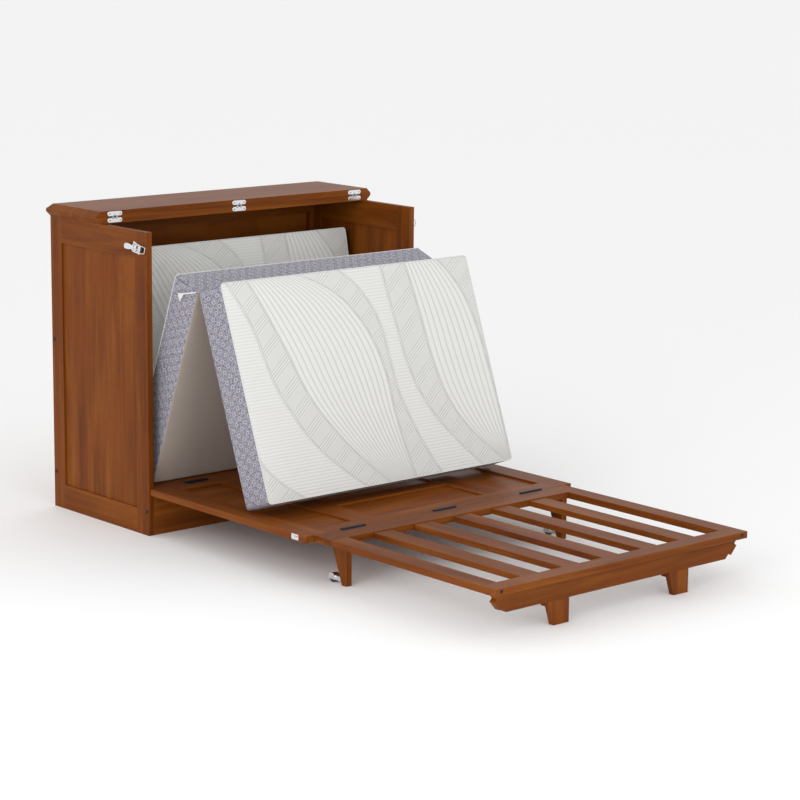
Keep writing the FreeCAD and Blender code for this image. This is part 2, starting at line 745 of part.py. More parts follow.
def make_slat_section():
    half = "slat_half_width"
    near = board("near_rail", ("-" + half, "-slat_inner_near", "panel_bottom"),
                 (half, "-slat_near", "deck_top"), eased=True)
    seats = hinge_row("slat_seats", hinge_seat("foot", "foot_hinge_lift"), "foot", foot_axis,
                      FreeCAD.Rotation(z_axis, 180))
    node(cut("near_rail_cut", near, seats), "slat_near_rail")
    leaf = hinge_leaf("foot_leaf_middle", "foot", "foot_hinge_lift", "middle")
    node(hinge_row("slat_leaves", leaf, "foot", foot_axis, FreeCAD.Rotation(z_axis, 180)),
         "flush_hinge_slat_leaves")
    for name, sign in side_signs.items():
        outer = "%d * slat_half_width" % sign
        inner = "%d * (slat_half_width - slat_rail_width)" % sign
        low_x, high_x = (outer, inner) if sign < 0 else (inner, outer)
        rail = board(name + "_rail", (low_x, "-slat_inner_far", "panel_bottom"),
                     (high_x, "-slat_inner_near", "deck_top"), eased=True)
        node(rail, "slat_%s_rail" % name)
    slats = []
    for index in (-2, -1, 0, 1, 2):
        centre = "%d * slat_pitch" % index
        top = "deck_top - slat_drop"
        slats.append(board("slat", (centre + " - slat_width / 2", "-slat_inner_far",
                                    top + " - slat_thickness"),
                           (centre + " + slat_width / 2", "-slat_inner_near", top), eased=True))
    node(group("slats", slats), "bed_slats")

    end = board("end_rail", ("-" + half, "-foot_end", "panel_bottom"),
                (half, "-slat_inner_far", "deck_top"), eased=True)
    wells = []
    heads = []
    for sign in side_signs.values():
        spot = ("%d * end_bolt_spacing" % sign, "-foot_end", "deck_top - end_bolt_drop")
        well = local_rod("bolt_head_radius", "-bolt_head_height", "2 * bolt_head_height + bolt_recess",
                         along="y")
        wells.append(placed_copy(well, spot))
        heads.append(placed_copy(bolt_head("bolt_recess", "0", "y"), spot))
    node(cut("end_rail_cut", end, group("wells", wells)), "slat_end_rail")
    node(group("end_bolts", heads), "slat_frame_bolts")


def make_apron():
    """The apron under the end rail: its ends slope in, each with a small block on the slope."""
    rise = "panel_bottom - apron_bottom"
    points = [("-apron_bottom_half_width", "0"), ("apron_bottom_half_width", "0"),
              ("apron_top_half_width", rise), ("-apron_top_half_width", rise)]
    apron = profile_board("apron", "XZ_Plane", points, "apron_thickness",
                          ("0", "-apron_front", "apron_bottom"), reverse=True)
    node(apron, "end_apron")
    run = value("apron_top_half_width - apron_bottom_half_width")
    climb = value(rise)
    angle = math.degrees(math.atan2(climb, run))
    blocks = []
    for name, sign in side_signs.items():
        span = "end_block_length"
        shape = [("-%s / 2" % span, "0"), ("%s / 2" % span, "0"),
                 ("%s / 2" % span, "end_block_thickness"), ("-%s / 2" % span, "end_block_thickness")]
        body = doc.addObject("PartDesign::Body", name + "_block")
        pad_outline(body, "XZ_Plane", shape, "apron_thickness", reverse=True)
        slope = angle if sign > 0 else -angle
        flip = FreeCAD.Rotation(y_axis, 180 - slope)
        middle = "%d * (apron_top_half_width + apron_bottom_half_width) / 2" % sign
        place(body, (middle, "-apron_front", "(panel_bottom + apron_bottom) / 2"), flip)
        blocks.append(body)
    node(group("end_blocks", blocks), "apron_end_blocks")


def make_foot_legs():
    """Two flat legs under the apron, both tapered on their left edge, with cleats behind."""
    taper = "foot_leg_width - foot_leg_toe_width"
    points = [(taper, "0"), ("foot_leg_width", "0"), ("foot_leg_width", "apron_bottom"),
              ("0", "apron_bottom")]
    starts = {"left": "-foot_leg_outer", "right": "foot_leg_outer - foot_leg_width"}
    cleats = []
    for name, start in starts.items():
        leg = profile_board(name + "_foot", "XZ_Plane", points, "apron_thickness",
                            (start, "-apron_front", "0"), reverse=True)
        node(leg, name + "_foot_leg")
        low = (start + " + leg_cleat_inset", "-apron_back", "apron_bottom - leg_cleat_thickness")
        high = (start + " + foot_leg_width - leg_cleat_inset", "-apron_back + leg_cleat_thickness",
                "panel_bottom")
        cleats.append(board(name + "_foot_cleat", low, high))
    node(group("foot_cleats", cleats), "foot_leg_cleats")


def make_middle_legs():
    """Legs under the foot section's near rail, tapered towards the cabinet, with casters."""
    points = [("-middle_leg_front", "0"), ("-toe_rear", "0"),
              ("-middle_leg_rear", "panel_bottom"), ("-middle_leg_front", "panel_bottom")]
    hoods = []
    axles = []
    for name, sign in side_signs.items():
        start = "-middle_leg_outer" if sign < 0 else "middle_leg_outer - middle_leg_thickness"
        leg = profile_board(name + "_middle", "YZ_Plane", points, "middle_leg_thickness",
                            (start, "0", "0"))
        node(leg, name + "_middle_leg")
        centre = "%d * wheel_centre" % sign
        spot = (centre, "-wheel_setback", "wheel_height")
        hoods.append(placed_copy(make_hood(name), spot))
        axle = local_rod("wheel_axle_radius", "-hood_inner_width / 2", "hood_inner_width")
        axles.append(placed_copy(axle, spot))
        tread = local_rod("wheel_radius", "-wheel_width / 2", "wheel_width")
        bore = local_rod("wheel_axle_radius + wheel_bore_clearance", "-wheel_width", "2 * wheel_width")
        node(placed_copy(cut(name + "_wheel", tread, bore), spot), name + "_caster_wheel")
    node(group("hoods", hoods), "caster_hoods")
    node(group("axles", axles), "caster_axles")


def make_hood(name):
    """A hood over the wheel with an arm to the leg's sloping edge; the wheel's axle is local X."""
    width = "hood_outer_width"
    drum = local_rod("hood_outer_radius", "-%s / 2" % width, width)
    lean = "(middle_leg_front - middle_leg_toe_width - middle_leg_rear) / panel_bottom"
    low = "-hood_lip_drop"
    high = "hood_arm_rise"
    arm = doc.addObject("PartDesign::Body", name + "_arm")
    reach_low = "wheel_setback - toe_rear + (wheel_height + (%s)) * %s" % (low, lean)
    reach_high = "wheel_setback - toe_rear + (wheel_height + (%s)) * %s" % (high, lean)
    points = [(reach_low, low), ("0", low), ("0", high), (reach_high, high)]
    pad_outline(arm, "YZ_Plane", points, "wheel_width", "-wheel_width / 2")
    solid = fuse(name + "_hood_solid", [drum, arm])
    hollow = local_rod("hood_inner_radius", "-hood_inner_width / 2", "hood_inner_width")
    below = local_box(("-hood_outer_width", "-2 * hood_outer_radius", "-2 * hood_outer_radius"),
                      ("hood_outer_width", "2 * hood_outer_radius", low))
    return cut(name + "_hood", solid, fuse(name + "_hood_room", [hollow, below]))


# ---- draw latches ----
# Local X runs along the latch towards the catch, local Y across it and local Z out from the side.

def latch_turn(sign):
    slope = math.radians(value("latch_tilt"))
    along = FreeCAD.Vector(0, -math.cos(slope), -math.sin(slope))
    outward = x_axis * sign
    return FreeCAD.Rotation(along, outward.cross(along), outward, "XYZ")


def make_latch_base(name):
    thick = "latch_plate_thickness"
    half = "latch_base_length / 2"
    plate = local_box(("-" + half, "-latch_base_width / 2", "0"),
                      (half, "latch_base_width / 2", thick))
    pieces = [plate]
    ear_radius = "(latch_knuckle_radius + %s)" % thick
    for sign in side_signs.values():
        inner = "latch_ear_gap / 2" if sign > 0 else "-latch_ear_gap / 2 - " + thick
        outer = "(%s) + %s" % (inner, thick)
        pieces.append(local_box(("-" + ear_radius, inner, "0"),
                                (ear_radius, outer, "latch_pin_height")))
        pieces.append(local_rod(ear_radius, inner, thick, at=("0", "latch_pin_height"), along="y"))
    pieces.append(local_rod("latch_pin_radius", "-latch_ear_gap / 2", "latch_ear_gap",
                            at=("0", "latch_pin_height"), along="y"))
    return fuse(name + "_base", pieces)


def make_lever(name):
    """A flat handle, narrow at the neck and round at its end, on two cross tubes.

    One tube turns on the base's pin and the other holds the bail.
    """
    half = "lever_width / 2"
    neck = "lever_neck_width / 2"
    shoulder = "lever_shoulder_width / 2"
    low = "latch_pin_height + latch_pin_radius"
    blade = "lever_length - lever_tip_radius"
    points = [("latch_pin_radius", "-" + neck), ("latch_pin_radius", neck),
              ("-lever_neck_setback", neck), ("-(%s)" % blade, shoulder),
              ("-(%s)" % blade, "-" + shoulder), ("-lever_neck_setback", "-" + neck)]
    plate = doc.addObject("PartDesign::Body", name + "_blade")
    pad_outline(plate, "XY_Plane", points, "latch_plate_thickness", low)
    tip = doc.addObject("Part::Cylinder", name + "_tip")
    bind(tip, "Radius", "lever_tip_radius")
    bind(tip, "Height", "latch_plate_thickness")
    bind(tip, "Placement.Base.x", "-(%s)" % blade)
    bind(tip, "Placement.Base.z", low)
    height = ("0", "latch_pin_height")
    behind = ("-bail_offset", "latch_pin_height")
    pivot = local_rod("latch_knuckle_radius", "-" + half, "lever_width", at=height, along="y")
    tube = local_rod("lever_tube_radius", "-" + half, "lever_width", at=behind, along="y")
    solid = fuse(name + "_lever_solid", [plate, tip, pivot, tube])
    pin_room = local_rod("latch_pin_radius + pin_clearance", "-latch_ear_gap", "2 * latch_ear_gap",
                         at=height, along="y")
    wire_room = local_rod("bail_wire_radius + pin_clearance", "-latch_ear_gap",
                          "2 * latch_ear_gap", at=behind, along="y")
    return cut(name + "_lever", solid, fuse(name + "_lever_room", [pin_room, wire_room]))


def make_bail(name):
    """A wire loop: two side wires, a cross wire at the catch end and a stub into each lever side."""
    half = "bail_width / 2"
    wire = "bail_wire_radius"
    height = "latch_pin_height"
    start = "-bail_offset"
    end = "bail_length - bail_offset"
    pieces = [local_rod(wire, "-%s - %s" % (half, wire), "bail_width + 2 * " + wire,
                        at=(end, height), along="y", flats=8)]
    for sign in side_signs.values():
        across = "%d * %s" % (sign, half)
        pieces.append(local_rod(wire, "%s - %s" % (start, wire), "bail_length + 2 * " + wire,
                                at=(across, height), flats=8))
        inner = "lever_width / 4" if sign > 0 else "-%s - %s" % (half, wire)
        pieces.append(local_rod(wire, inner, "%s - lever_width / 4 + %s" % (half, wire),
                                at=(start, height), along="y", flats=8))
    return fuse(name + "_bail", pieces)


def make_latches():
    bases = []
    for name, sign in side_signs.items():
        spot = ("%d * half_width" % sign, "latch_pivot_setback", "latch_pivot_height")
        turn = latch_turn(sign)
        bases.append(placed_copy(make_latch_base(name), spot, turn))
        node(placed_copy(make_lever(name), spot, turn), name + "_latch_lever")
        node(placed_copy(make_bail(name), spot, turn), name + "_latch_bail")
    node(group("bases", bases), "latch_bases")


# ---- mattress ----
# Each third is made lying flat: local X across the bed, local Y along its length, local Z from
# the plain underside to the crowned quilted face.

def rounded_outline(width, length, radius, inset, height):
    """A rounded rectangle drawn in by inset all round, as one closed wire."""
    left = -width / 2 + inset
    right = width / 2 - inset
    near = inset
    far = length - inset
    bend = radius * (1 - math.sqrt(0.5))
    corners = ((left, near, 1, 1), (right, near, -1, 1), (right, far, -1, -1), (left, far, 1, -1))
    spots = []
    for index, (across, along, step_x, step_y) in enumerate(corners):
        beside = FreeCAD.Vector(across + step_x * radius, along, height)
        above = FreeCAD.Vector(across, along + step_y * radius, height)
        middle = FreeCAD.Vector(across + step_x * bend, along + step_y * bend, height)
        first, last = (above, beside) if index % 2 == 0 else (beside, above)
        spots.append((first, middle, last))
    edges = []
    for index, (first, middle, last) in enumerate(spots):
        edges.append(Part.Arc(first, middle, last).toShape())
        edges.append(Part.LineSegment(last, spots[(index + 1) % 4][0]).toShape())
    return Part.Wire(edges)


def mattress_third(name, corner, length_way, thickness_way):
    """A third of the mattress, its underside's corner line at corner, in the Y and Z plane."""
    width = value("mattress_width")
    length = value("mattress_fold_length")
    radius = value("mattress_corner_radius")
    edge = value("mattress_edge_thickness")
    piping = value("mattress_piping")
    pinch = value("mattress_piping_inset")
    levels = ((0, pinch), (piping, 0), (edge / 2, value("mattress_side_draw")),
              (edge - piping, 0), (edge, pinch),
              (value("mattress_thickness"), value("mattress_crown_inset")))
    wires = [rounded_outline(width, length, radius, inset, height) for height, inset in levels]
    item = doc.addObject("Part::Feature", name)
    item.Shape = Part.makeLoft(wires, True, True)
    turn = FreeCAD.Rotation(length_way.cross(thickness_way), length_way, thickness_way, "XYZ")
    item.Placement = FreeCAD.Placement(corner, turn)
    return item


def make_mattress():
    """The mattress stands half folded: one third behind, two thirds propped like a tent."""
    tilt = math.radians(value("mattress_tilt"))
    lean = math.radians(value("mattress_rear_tilt"))
    shift = value("front_plane")
    gap = value("fold_gap") / 2
    thick = value("mattress_thickness")
    length = value("mattress_fold_length")
    heel = FreeCAD.Vector(value("mattress_offset"), value("mattress_corner_setback") + shift,
                          value("mattress_bottom"))

    middle_up = FreeCAD.Vector(0, -math.sin(tilt), math.cos(tilt))
    middle_out = FreeCAD.Vector(0, math.cos(tilt), math.sin(tilt))
    middle = mattress_third("middle_third", heel, middle_up, middle_out)
    bottom_fold = heel + middle_out * (thick + gap)
    top_fold = heel + middle_up * length - middle_out * gap

    rear_up = FreeCAD.Vector(0, math.sin(lean), math.cos(lean))
    rear_out = FreeCAD.Vector(0, -math.cos(lean), math.sin(lean))
    rear = mattress_third("rear_third", bottom_fold - rear_out * (thick + gap), rear_up, rear_out)

    front_up = FreeCAD.Vector(0, math.sin(tilt), math.cos(tilt))
    front_out = FreeCAD.Vector(0, -math.cos(tilt), math.sin(tilt))
    front = mattress_third("front_third", top_fold + front_out * gap - front_up * length,
                           front_up, front_out)
    node(rear, "mattress_rear")
    node(middle, "mattress_middle")
    node(front, "mattress_front")

    # Sewn strips along the two folds.
    across = value("mattress_width / 2 - mattress_corner_radius - strip_inset")
    strip_width = value("bottom_strip_width")
    strip = doc.addObject("Part::Feature", "bottom_strip")
    strip.Shape = Part.makeBox(2 * across, strip_width, value("bottom_strip_height"))
    corner = bottom_fold - FreeCAD.Vector(across, strip_width / 2, 0)
    strip.Placement = FreeCAD.Placement(corner, FreeCAD.Rotation())
    node(strip, "mattress_bottom_strip")
    radius = value("top_strip_radius")
    lift = (radius + gap) / math.cos(tilt)
    cord = doc.addObject("Part::Feature", "top_strip")
    cord.Shape = Part.makeCylinder(radius, 2 * across)
    start = top_fold + FreeCAD.Vector(-across, 0, lift)
    cord.Placement = FreeCAD.Placement(start, FreeCAD.Rotation(y_axis, 90))
    node(cord, "mattress_top_strip")


for side_name, side_sign in side_signs.items():
    make_side(side_name, side_sign)
make_carcass()
make_cabinet_bolts()
make_top()
make_deck()
make_front_panel()
make_catches()
make_slat_section()
make_apron()
make_foot_legs()
make_middle_legs()
make_latches()
make_mattress()
doc.recompute()

for item in doc.Objects:
    if "Invalid" in item.State or "Error" in item.State:
        raise ValueError("%s did not rebuild: %s" % (item.Label, item.State))
for label, item in nodes.items():
    if item.Shape.isNull() or not item.Shape.isValid():
        raise ValueError("%s has no valid shape" % label)
if len(nodes) > 60:
    raise ValueError("%d nodes" % len(nodes))

os.makedirs("parts", exist_ok=True)
for label, item in nodes.items():
    item.Shape.exportStep("parts/%s.step" % label)
print(len(nodes), "nodes,", sum(len(item.Shape.Solids) for item in nodes.values()), "solids")
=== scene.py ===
import math

import bmesh
import bpy
from mathutils import Euler, Matrix, Vector, noise


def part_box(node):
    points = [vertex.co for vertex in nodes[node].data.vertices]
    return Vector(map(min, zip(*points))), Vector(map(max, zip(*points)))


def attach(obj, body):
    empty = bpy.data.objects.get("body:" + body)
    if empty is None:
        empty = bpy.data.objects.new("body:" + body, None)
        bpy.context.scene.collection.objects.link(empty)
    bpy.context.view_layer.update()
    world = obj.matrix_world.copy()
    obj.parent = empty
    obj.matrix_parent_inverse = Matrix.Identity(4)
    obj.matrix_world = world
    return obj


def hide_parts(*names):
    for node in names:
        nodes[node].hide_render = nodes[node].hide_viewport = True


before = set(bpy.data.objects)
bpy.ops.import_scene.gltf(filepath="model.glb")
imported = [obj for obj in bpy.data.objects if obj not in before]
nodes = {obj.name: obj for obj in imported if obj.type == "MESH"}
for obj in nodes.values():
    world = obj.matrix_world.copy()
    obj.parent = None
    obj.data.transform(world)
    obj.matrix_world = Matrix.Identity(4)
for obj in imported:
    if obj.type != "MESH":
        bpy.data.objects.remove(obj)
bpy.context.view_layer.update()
collection = bpy.context.scene.collection

# ---- camera ----
# A long lens at a standing viewer's height, off the foot's left corner and turned a little down,
# as the photograph was taken.
camera_place = (-5.087, -5.847, 1.993)
camera_turn = math.radians(41.3)
camera_dip = math.radians(11.26)
camera_roll = math.radians(0.58)
camera_data = bpy.data.cameras.new("camera")
camera_data.lens = 114.2
camera_data.sensor_width = 36
camera_data.clip_end = 200
camera = bpy.data.objects.new("camera", camera_data)
level_aim = Euler((math.pi / 2 - camera_dip, 0, -camera_turn)).to_matrix()
aim = level_aim @ Matrix.Rotation(camera_roll, 3, "Z")
camera.matrix_world = Matrix.Translation(camera_place) @ aim.to_4x4()
collection.objects.link(camera)
bpy.context.scene.camera = camera

# ---- cabinet sides ----
# Each side is a frame of solid walnut-stained boards round a thin inset board, glued up from
# stiles and rails and finished in a satin lacquer that lets the grain show.


class Signal:
    """One output of a finish's nodes, so that shader maths reads as plain arithmetic."""

    def __init__(self, finish, socket):
        self.finish = finish
        self.socket = socket

    def maths(self, operation, *values, clamp=False):
        settings = {"operation": operation, "use_clamp": clamp}
        return self.finish.add("Math", settings, dict(enumerate(values)))

    def __add__(self, other):
        return self.maths("ADD", self, other)

    def __radd__(self, other):
        return self.maths("ADD", other, self)

    def __sub__(self, other):
        return self.maths("SUBTRACT", self, other)

    def __rsub__(self, other):
        return self.maths("SUBTRACT", other, self)

    def __mul__(self, other):
        return self.maths("MULTIPLY", self, other)

    def __truediv__(self, other):
        return self.maths("DIVIDE", self, other)

    def __rtruediv__(self, other):
        return self.maths("DIVIDE", other, self)

    def __mod__(self, other):
        return self.maths("FLOORED_MODULO", self, other)

    def __gt__(self, other):
        return self.maths("GREATER_THAN", self, other)

    def __lt__(self, other):
        return self.maths("LESS_THAN", self, other)

    def __abs__(self):
        return self.maths("ABSOLUTE", self)

    def most(self, other):
        return self.maths("MAXIMUM", self, other)

    def ramp(self, low, high):
        """0 below low, 1 above high and smooth between them."""
        settings = {"interpolation_type": "SMOOTHSTEP"}
        return self.finish.add("MapRange", settings, {0: self, 1: low, 2: high, 3: 0.0, 4: 1.0})


class Finish:
    """A material with one surface shader, made by adding nodes and wiring their sockets."""

    def __init__(self, name, **fixed):
        self.material = bpy.data.materials.new(name)
        self.material.use_nodes = True
        self.tree = self.material.node_tree
        self.shader = self.tree.nodes["Principled BSDF"]
        for socket, value in fixed.items():
            self.shader.inputs[socket.replace("_", " ")].default_value = value

    def add(self, kind, settings=None, sockets=None, output=0):
        node = self.tree.nodes.new("ShaderNode" + kind)
        for name, value in (settings or {}).items():
            if name == "points":
                curve = node.mapping.curves[0]
                curve.points[0].location = value[0]
                curve.points[1].location = value[-1]
                for place in value[1:-1]:
                    curve.points.new(*place)
                node.mapping.update()
            else:
                setattr(node, name, value)
        for socket, value in (sockets or {}).items():
            self.join(node.inputs[socket], value)
        return Signal(self, node.outputs[output])

    def join(self, socket, value):
        if isinstance(value, Signal):
            self.tree.links.new(value.socket, socket)
        else:
            socket.default_value = value

    def surface(self, **inputs):
        for name, value in inputs.items():
            self.join(self.shader.inputs[name.replace("_", " ")], value)
        return self.material

    def stretched(self, scale, location=(0, 0, 0)):
        """The object's own coordinates, moved and stretched."""
        coordinates = self.add("TexCoord", output="Object")
        sockets = {"Vector": coordinates, "Location": location, "Scale": scale}
        return self.add("Mapping", None, sockets)

    def cloth_place(self):
        """Where a point lies on the cloth, in metres."""
        return self.add("UVMap", {"uv_map": "cloth"})

    def scaled(self, place, scale):
        return self.add("Mapping", None, {"Vector": place, "Scale": scale})

    def noise(self, vector, scale=1.0, detail=3.0, roughness=0.5, distortion=0.0):
        sockets = {"Vector": vector, "Scale": scale, "Detail": detail, "Roughness": roughness,
                   "Distortion": distortion}
        return self.add("TexNoise", None, sockets)

    def mix(self, share, low, high):
        return self.add("Mix", {"data_type": "RGBA"}, {0: share, 6: low, 7: high}, output=2)

    def bump(self, height, distance, strength=1.0, normal=None):
        sockets = {"Height": height, "Distance": distance, "Strength": strength}
        if normal is not None:
            sockets["Normal"] = normal
        return self.add("Bump", None, sockets)


walnut_deep = (0.098, 0.0205, 0.0020, 1)
walnut_warm = (0.235, 0.0690, 0.0075, 1)
walnut_red = (0.170, 0.0375, 0.0040, 1)
walnut_pore = (0.030, 0.0070, 0.0012, 1)
# The last colour is a pale orange painted along rounded edges as a highlight, standing in for
# light catching them.
walnut_edge_highlight = (0.340, 0.1150, 0.0160, 1)
grain_axes = {"x": 0, "y": 1, "z": 2}


def walnut(name, along, start, shade=0.0, crossing=None):
    """Walnut stain on close-grained timber, its grain along one axis and cut from its own board.

    crossing is a half width in metres, inside which the grain runs along X instead.
    """
    wood = Finish(name, Roughness=0.42, Specular_IOR_Level=0.08, Coat_Weight=0.03,
                  Coat_Roughness=0.3)

    def grain(length_scale, cross_scale):
        def stretch(axis):
            scale = [cross_scale] * 3
            scale[grain_axes[axis]] = length_scale
            return wood.stretched(scale, (start, start * 1.7, start * 0.6))

        if crossing is None:
            return stretch(along)
        across = wood.add("SeparateXYZ", None, {0: wood.stretched((1, 1, 1))})
        inside = abs(across) < crossing
        settings = {"data_type": "VECTOR"}
        return wood.add("Mix", settings, {0: inside, 4: stretch(along), 5: stretch("x")}, output=1)

    figure = wood.noise(grain(0.9, 9.0), 1.6, 4.0, 0.55, 0.7)
    streaks = wood.noise(grain(3.0, 85.0), 1.0, 5.0, 0.6, 0.3)
    pores = wood.noise(grain(26.0, 900.0), 1.0, 2.0, 0.5)
    blotches = wood.noise(wood.stretched((1, 1, 1), (start * 0.3, start, 0)), 7.0, 3.0, 0.6)
    # shade lifts the stain towards the warmer colour; the back panel's large value is painted
    # light.
    warmth = (figure * 0.95 + streaks * 0.55 - 0.32 + shade).ramp(0.12, 0.78)
    body = wood.mix(warmth, walnut_deep, walnut_warm)
    reddened = wood.mix(blotches.ramp(0.42, 0.70) * 0.55, body, walnut_red)
    dark_pores = pores.ramp(0.60, 0.74) * 0.35
    grained = wood.mix(dark_pores, reddened, walnut_pore)
    rounded = wood.add("Bevel", {"samples": 4}, {"Radius": 0.0012})
    flat = wood.add("NewGeometry", output="Normal")
    turned_away = wood.add("VectorMath", {"operation": "DOT_PRODUCT"}, {0: rounded, 1: flat},
                           output="Value")
    # Painted highlight: where the bevelled normal turns away from the flat one, the colour is
    # lightened in patches towards the pale orange, standing in for light catching the rounded
    # edges.
    painted_edge_highlight = (1.0 - turned_away).ramp(0.01, 0.12) * (0.35 + blotches * 0.5)
    colour = wood.mix(painted_edge_highlight, grained, walnut_edge_highlight)
    relief = wood.bump(streaks * 0.6 - dark_pores, 0.00025, 0.45, rounded)
    sheen = 0.36 + streaks * 0.12 + blotches * 0.06
    return wood.surface(Base_Color=colour, Roughness=sheen, Normal=relief)


def dress(material, slot, *names):
    """Give carried-over pieces their finish."""
    for name in names:
        nodes[name].data.materials.clear()
        nodes[name].data.materials.append(material)


dress(walnut("left_stiles_wood", "z", 0.31), "walnut_wood", "left_front_stile", "left_rear_stile")
dress(walnut("right_stiles_wood", "z", 2.17), "walnut_wood", "right_front_stile",
      "right_rear_stile")
dress(walnut("side_rails_wood", "y", 4.6), "walnut_wood", "left_side_rails", "right_side_rails")
dress(walnut("side_panels_wood", "z", 7.3, 0.03), "walnut_wood", "left_side_panel",
      "right_side_panel")

# ---- back, posts, deck and plinth ----
# Plain boards glued and screwed between the two sides; the plinth stands on the floor at the
# front and the deck lies on cleats behind it.
# The back panel's colour is lifted as painted light, standing in for light on the shaded inside of
# the cabinet.
dress(walnut("back_wood", "x", 9.2, 0.25), "walnut_wood", "back_panel")
dress(walnut("stretcher_wood", "x", 11.9), "walnut_wood", "back_top_stretcher",
      "back_bottom_stretcher", "plinth_board", "deck_cleats")
dress(walnut("posts_wood", "z", 12.8), "walnut_wood", "back_corner_posts")
dress(walnut("deck_wood", "x", 14.4), "walnut_wood", "deck_board")

# ---- the two top boards ----
# Two equal walnut boards with chamfered rims; the upper one lies folded back on the lower one.
dress(walnut("fixed_top_wood", "x", 16.1), "walnut_wood", "fixed_top_board")
dress(walnut("lid_wood", "x", 18.7), "walnut_wood", "folding_lid_board")

# ---- front panel ----
# A framed board that forms the cabinet's front when closed and lies level as part of the bed.
dress(walnut("panel_stiles_wood", "y", 21.4), "walnut_wood", "front_panel_left_stile",
      "front_panel_right_stile")
dress(walnut("panel_rails_wood", "x", 23.3), "walnut_wood", "front_panel_near_rail",
      "front_panel_far_rail")
dress(walnut("mullions_wood", "y", 26.1, crossing=0.224), "walnut_wood", "front_panel_mullions")
dress(walnut("insets_wood", "x", 29.6, 0.02), "walnut_wood", "front_panel_insets")

# ---- slatted foot section ----
# A frame of four rails with five slats let in, an apron under its end and two pairs of legs.
dress(walnut("slat_rails_wood", "y", 31.2), "walnut_wood", "slat_left_rail", "slat_right_rail",
      "bed_slats")
dress(walnut("cross_rails_wood", "x", 34.8), "walnut_wood", "slat_near_rail", "slat_end_rail",
      "end_apron", "apron_end_blocks")
dress(walnut("legs_wood", "z", 37.7), "walnut_wood", "left_foot_leg", "right_foot_leg",
      "left_middle_leg", "right_middle_leg", "foot_leg_cleats")

# ---- bright hardware ----
# Nickel-plated steel: the lid's hinges, the draw latches with their catches, and the casters'
# hoods, all screwed or riveted on.
nickel = Finish("nickel_plate", Metallic=1.0, Roughness=0.22)
smears = nickel.noise(nickel.stretched((1, 1, 1)), 90.0, 3.0)
nickel_tone = nickel.mix(smears, (0.72, 0.73, 0.75, 1), (0.88, 0.88, 0.89, 1))
nickel_relief = nickel.bump(smears, 0.0002, 0.25)
nickel_plate = nickel.surface(Base_Color=nickel_tone, Roughness=0.16 + smears * 0.16,
                              Normal=nickel_relief)
dress(nickel_plate, "bright_metal", "latch_bases", "catch_plates", "caster_hoods", "caster_axles",
      "cabinet_hinge_pins")

# ---- black hardware ----
# Blackened steel: the bolts, and the flush hinges between deck, panel and foot section.
blackened = Finish("blackened_steel", Metallic=0.55, Roughness=0.42)
rub = blackened.noise(blackened.stretched((1, 1, 1)), 160.0, 3.0)
black_tone = blackened.mix(rub.ramp(0.45, 0.8) * 0.5, (0.012, 0.012, 0.014, 1),
                           (0.05, 0.05, 0.055, 1))
black_steel = blackened.surface(Base_Color=black_tone, Roughness=0.34 + rub * 0.2,
                                Normal=blackened.bump(rub, 0.0002, 0.2))
dress(black_steel, "black_steel", "cabinet_bolts", "slat_frame_bolts", "flush_hinge_panel_leaves",
      "flush_hinge_slat_leaves", "flush_hinge_pins", "panel_hinge_cabinet_leaves",
      "panel_hinge_panel_leaves")

# ---- lid hinges ----
# Three surface hinges across the joint of the two top boards: each has two bright leaves with
# rounded ends and two screws, held together by an arm and a dark knuckle on a steel pin.
lid_pin = Vector((0, 0.75425, 0.98425))
lid_hinge_places = (-0.496, 0.0, 0.496)
leaf_length = 0.0565
leaf_height = 0.0150
leaf_thickness = 0.0016
leaf_offset = 0.0104
leaf_front = 0.7549
leaf_softness = 0.0004
leaf_screw_radius = 0.0029
leaf_screw_rise = 0.00035
screw_spread = 0.0195
arm_length = 0.0056
arm_width = 0.0052
arm_softness = 0.0003
arm_reach = leaf_offset - 0.0035
lower_arm_spread = 0.0062
lower_arm_stretch = 1.5
upper_arm_stretch = 1.9
knuckle_radius = 0.0024
knuckle_length = 0.0066


def new_piece(name, shell, body, slot, *materials):
    """Finish a piece whose mesh is already shaped and in its place."""
    bmesh.ops.recalc_face_normals(shell, faces=shell.faces[:])
    mesh = bpy.data.meshes.new(name)
    shell.to_mesh(mesh)
    shell.free()
    for material in materials:
        mesh.materials.append(material)
    piece = bpy.data.objects.new(name, mesh)
    collection.objects.link(piece)
    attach(piece, body)
    return piece


def into(shell, part):
    """Add a part's mesh to a shell."""
    mesh = bpy.data.meshes.new("part")
    part.to_mesh(mesh)
    part.free()
    shell.from_mesh(mesh)
    bpy.data.meshes.remove(mesh)


def round_ended_plate(length, height, thickness, softness, segments=28):
    """A flat plate with half-round ends, lying along X with its back on Z = 0."""
    plate = bmesh.new()
    bmesh.ops.create_circle(plate, cap_ends=True, segments=segments, radius=height / 2)
    spread = (length - height) / 2
    for vertex in plate.verts:
        if abs(vertex.co.x) > 1e-6:
            vertex.co.x += math.copysign(spread, vertex.co.x)
    grown = bmesh.ops.extrude_face_region(plate, geom=plate.faces[:])
    lifted = [item for item in grown["geom"] if isinstance(item, bmesh.types.BMVert)]
    bmesh.ops.translate(plate, vec=(0, 0, thickness), verts=lifted)
    rim = [edge for edge in plate.edges if min(v.co.z for v in edge.verts) > thickness * 0.9]
    bmesh.ops.bevel(plate, geom=rim, offset=softness, segments=2, profile=0.5, affect="EDGES",
                    material=-1)
    return plate


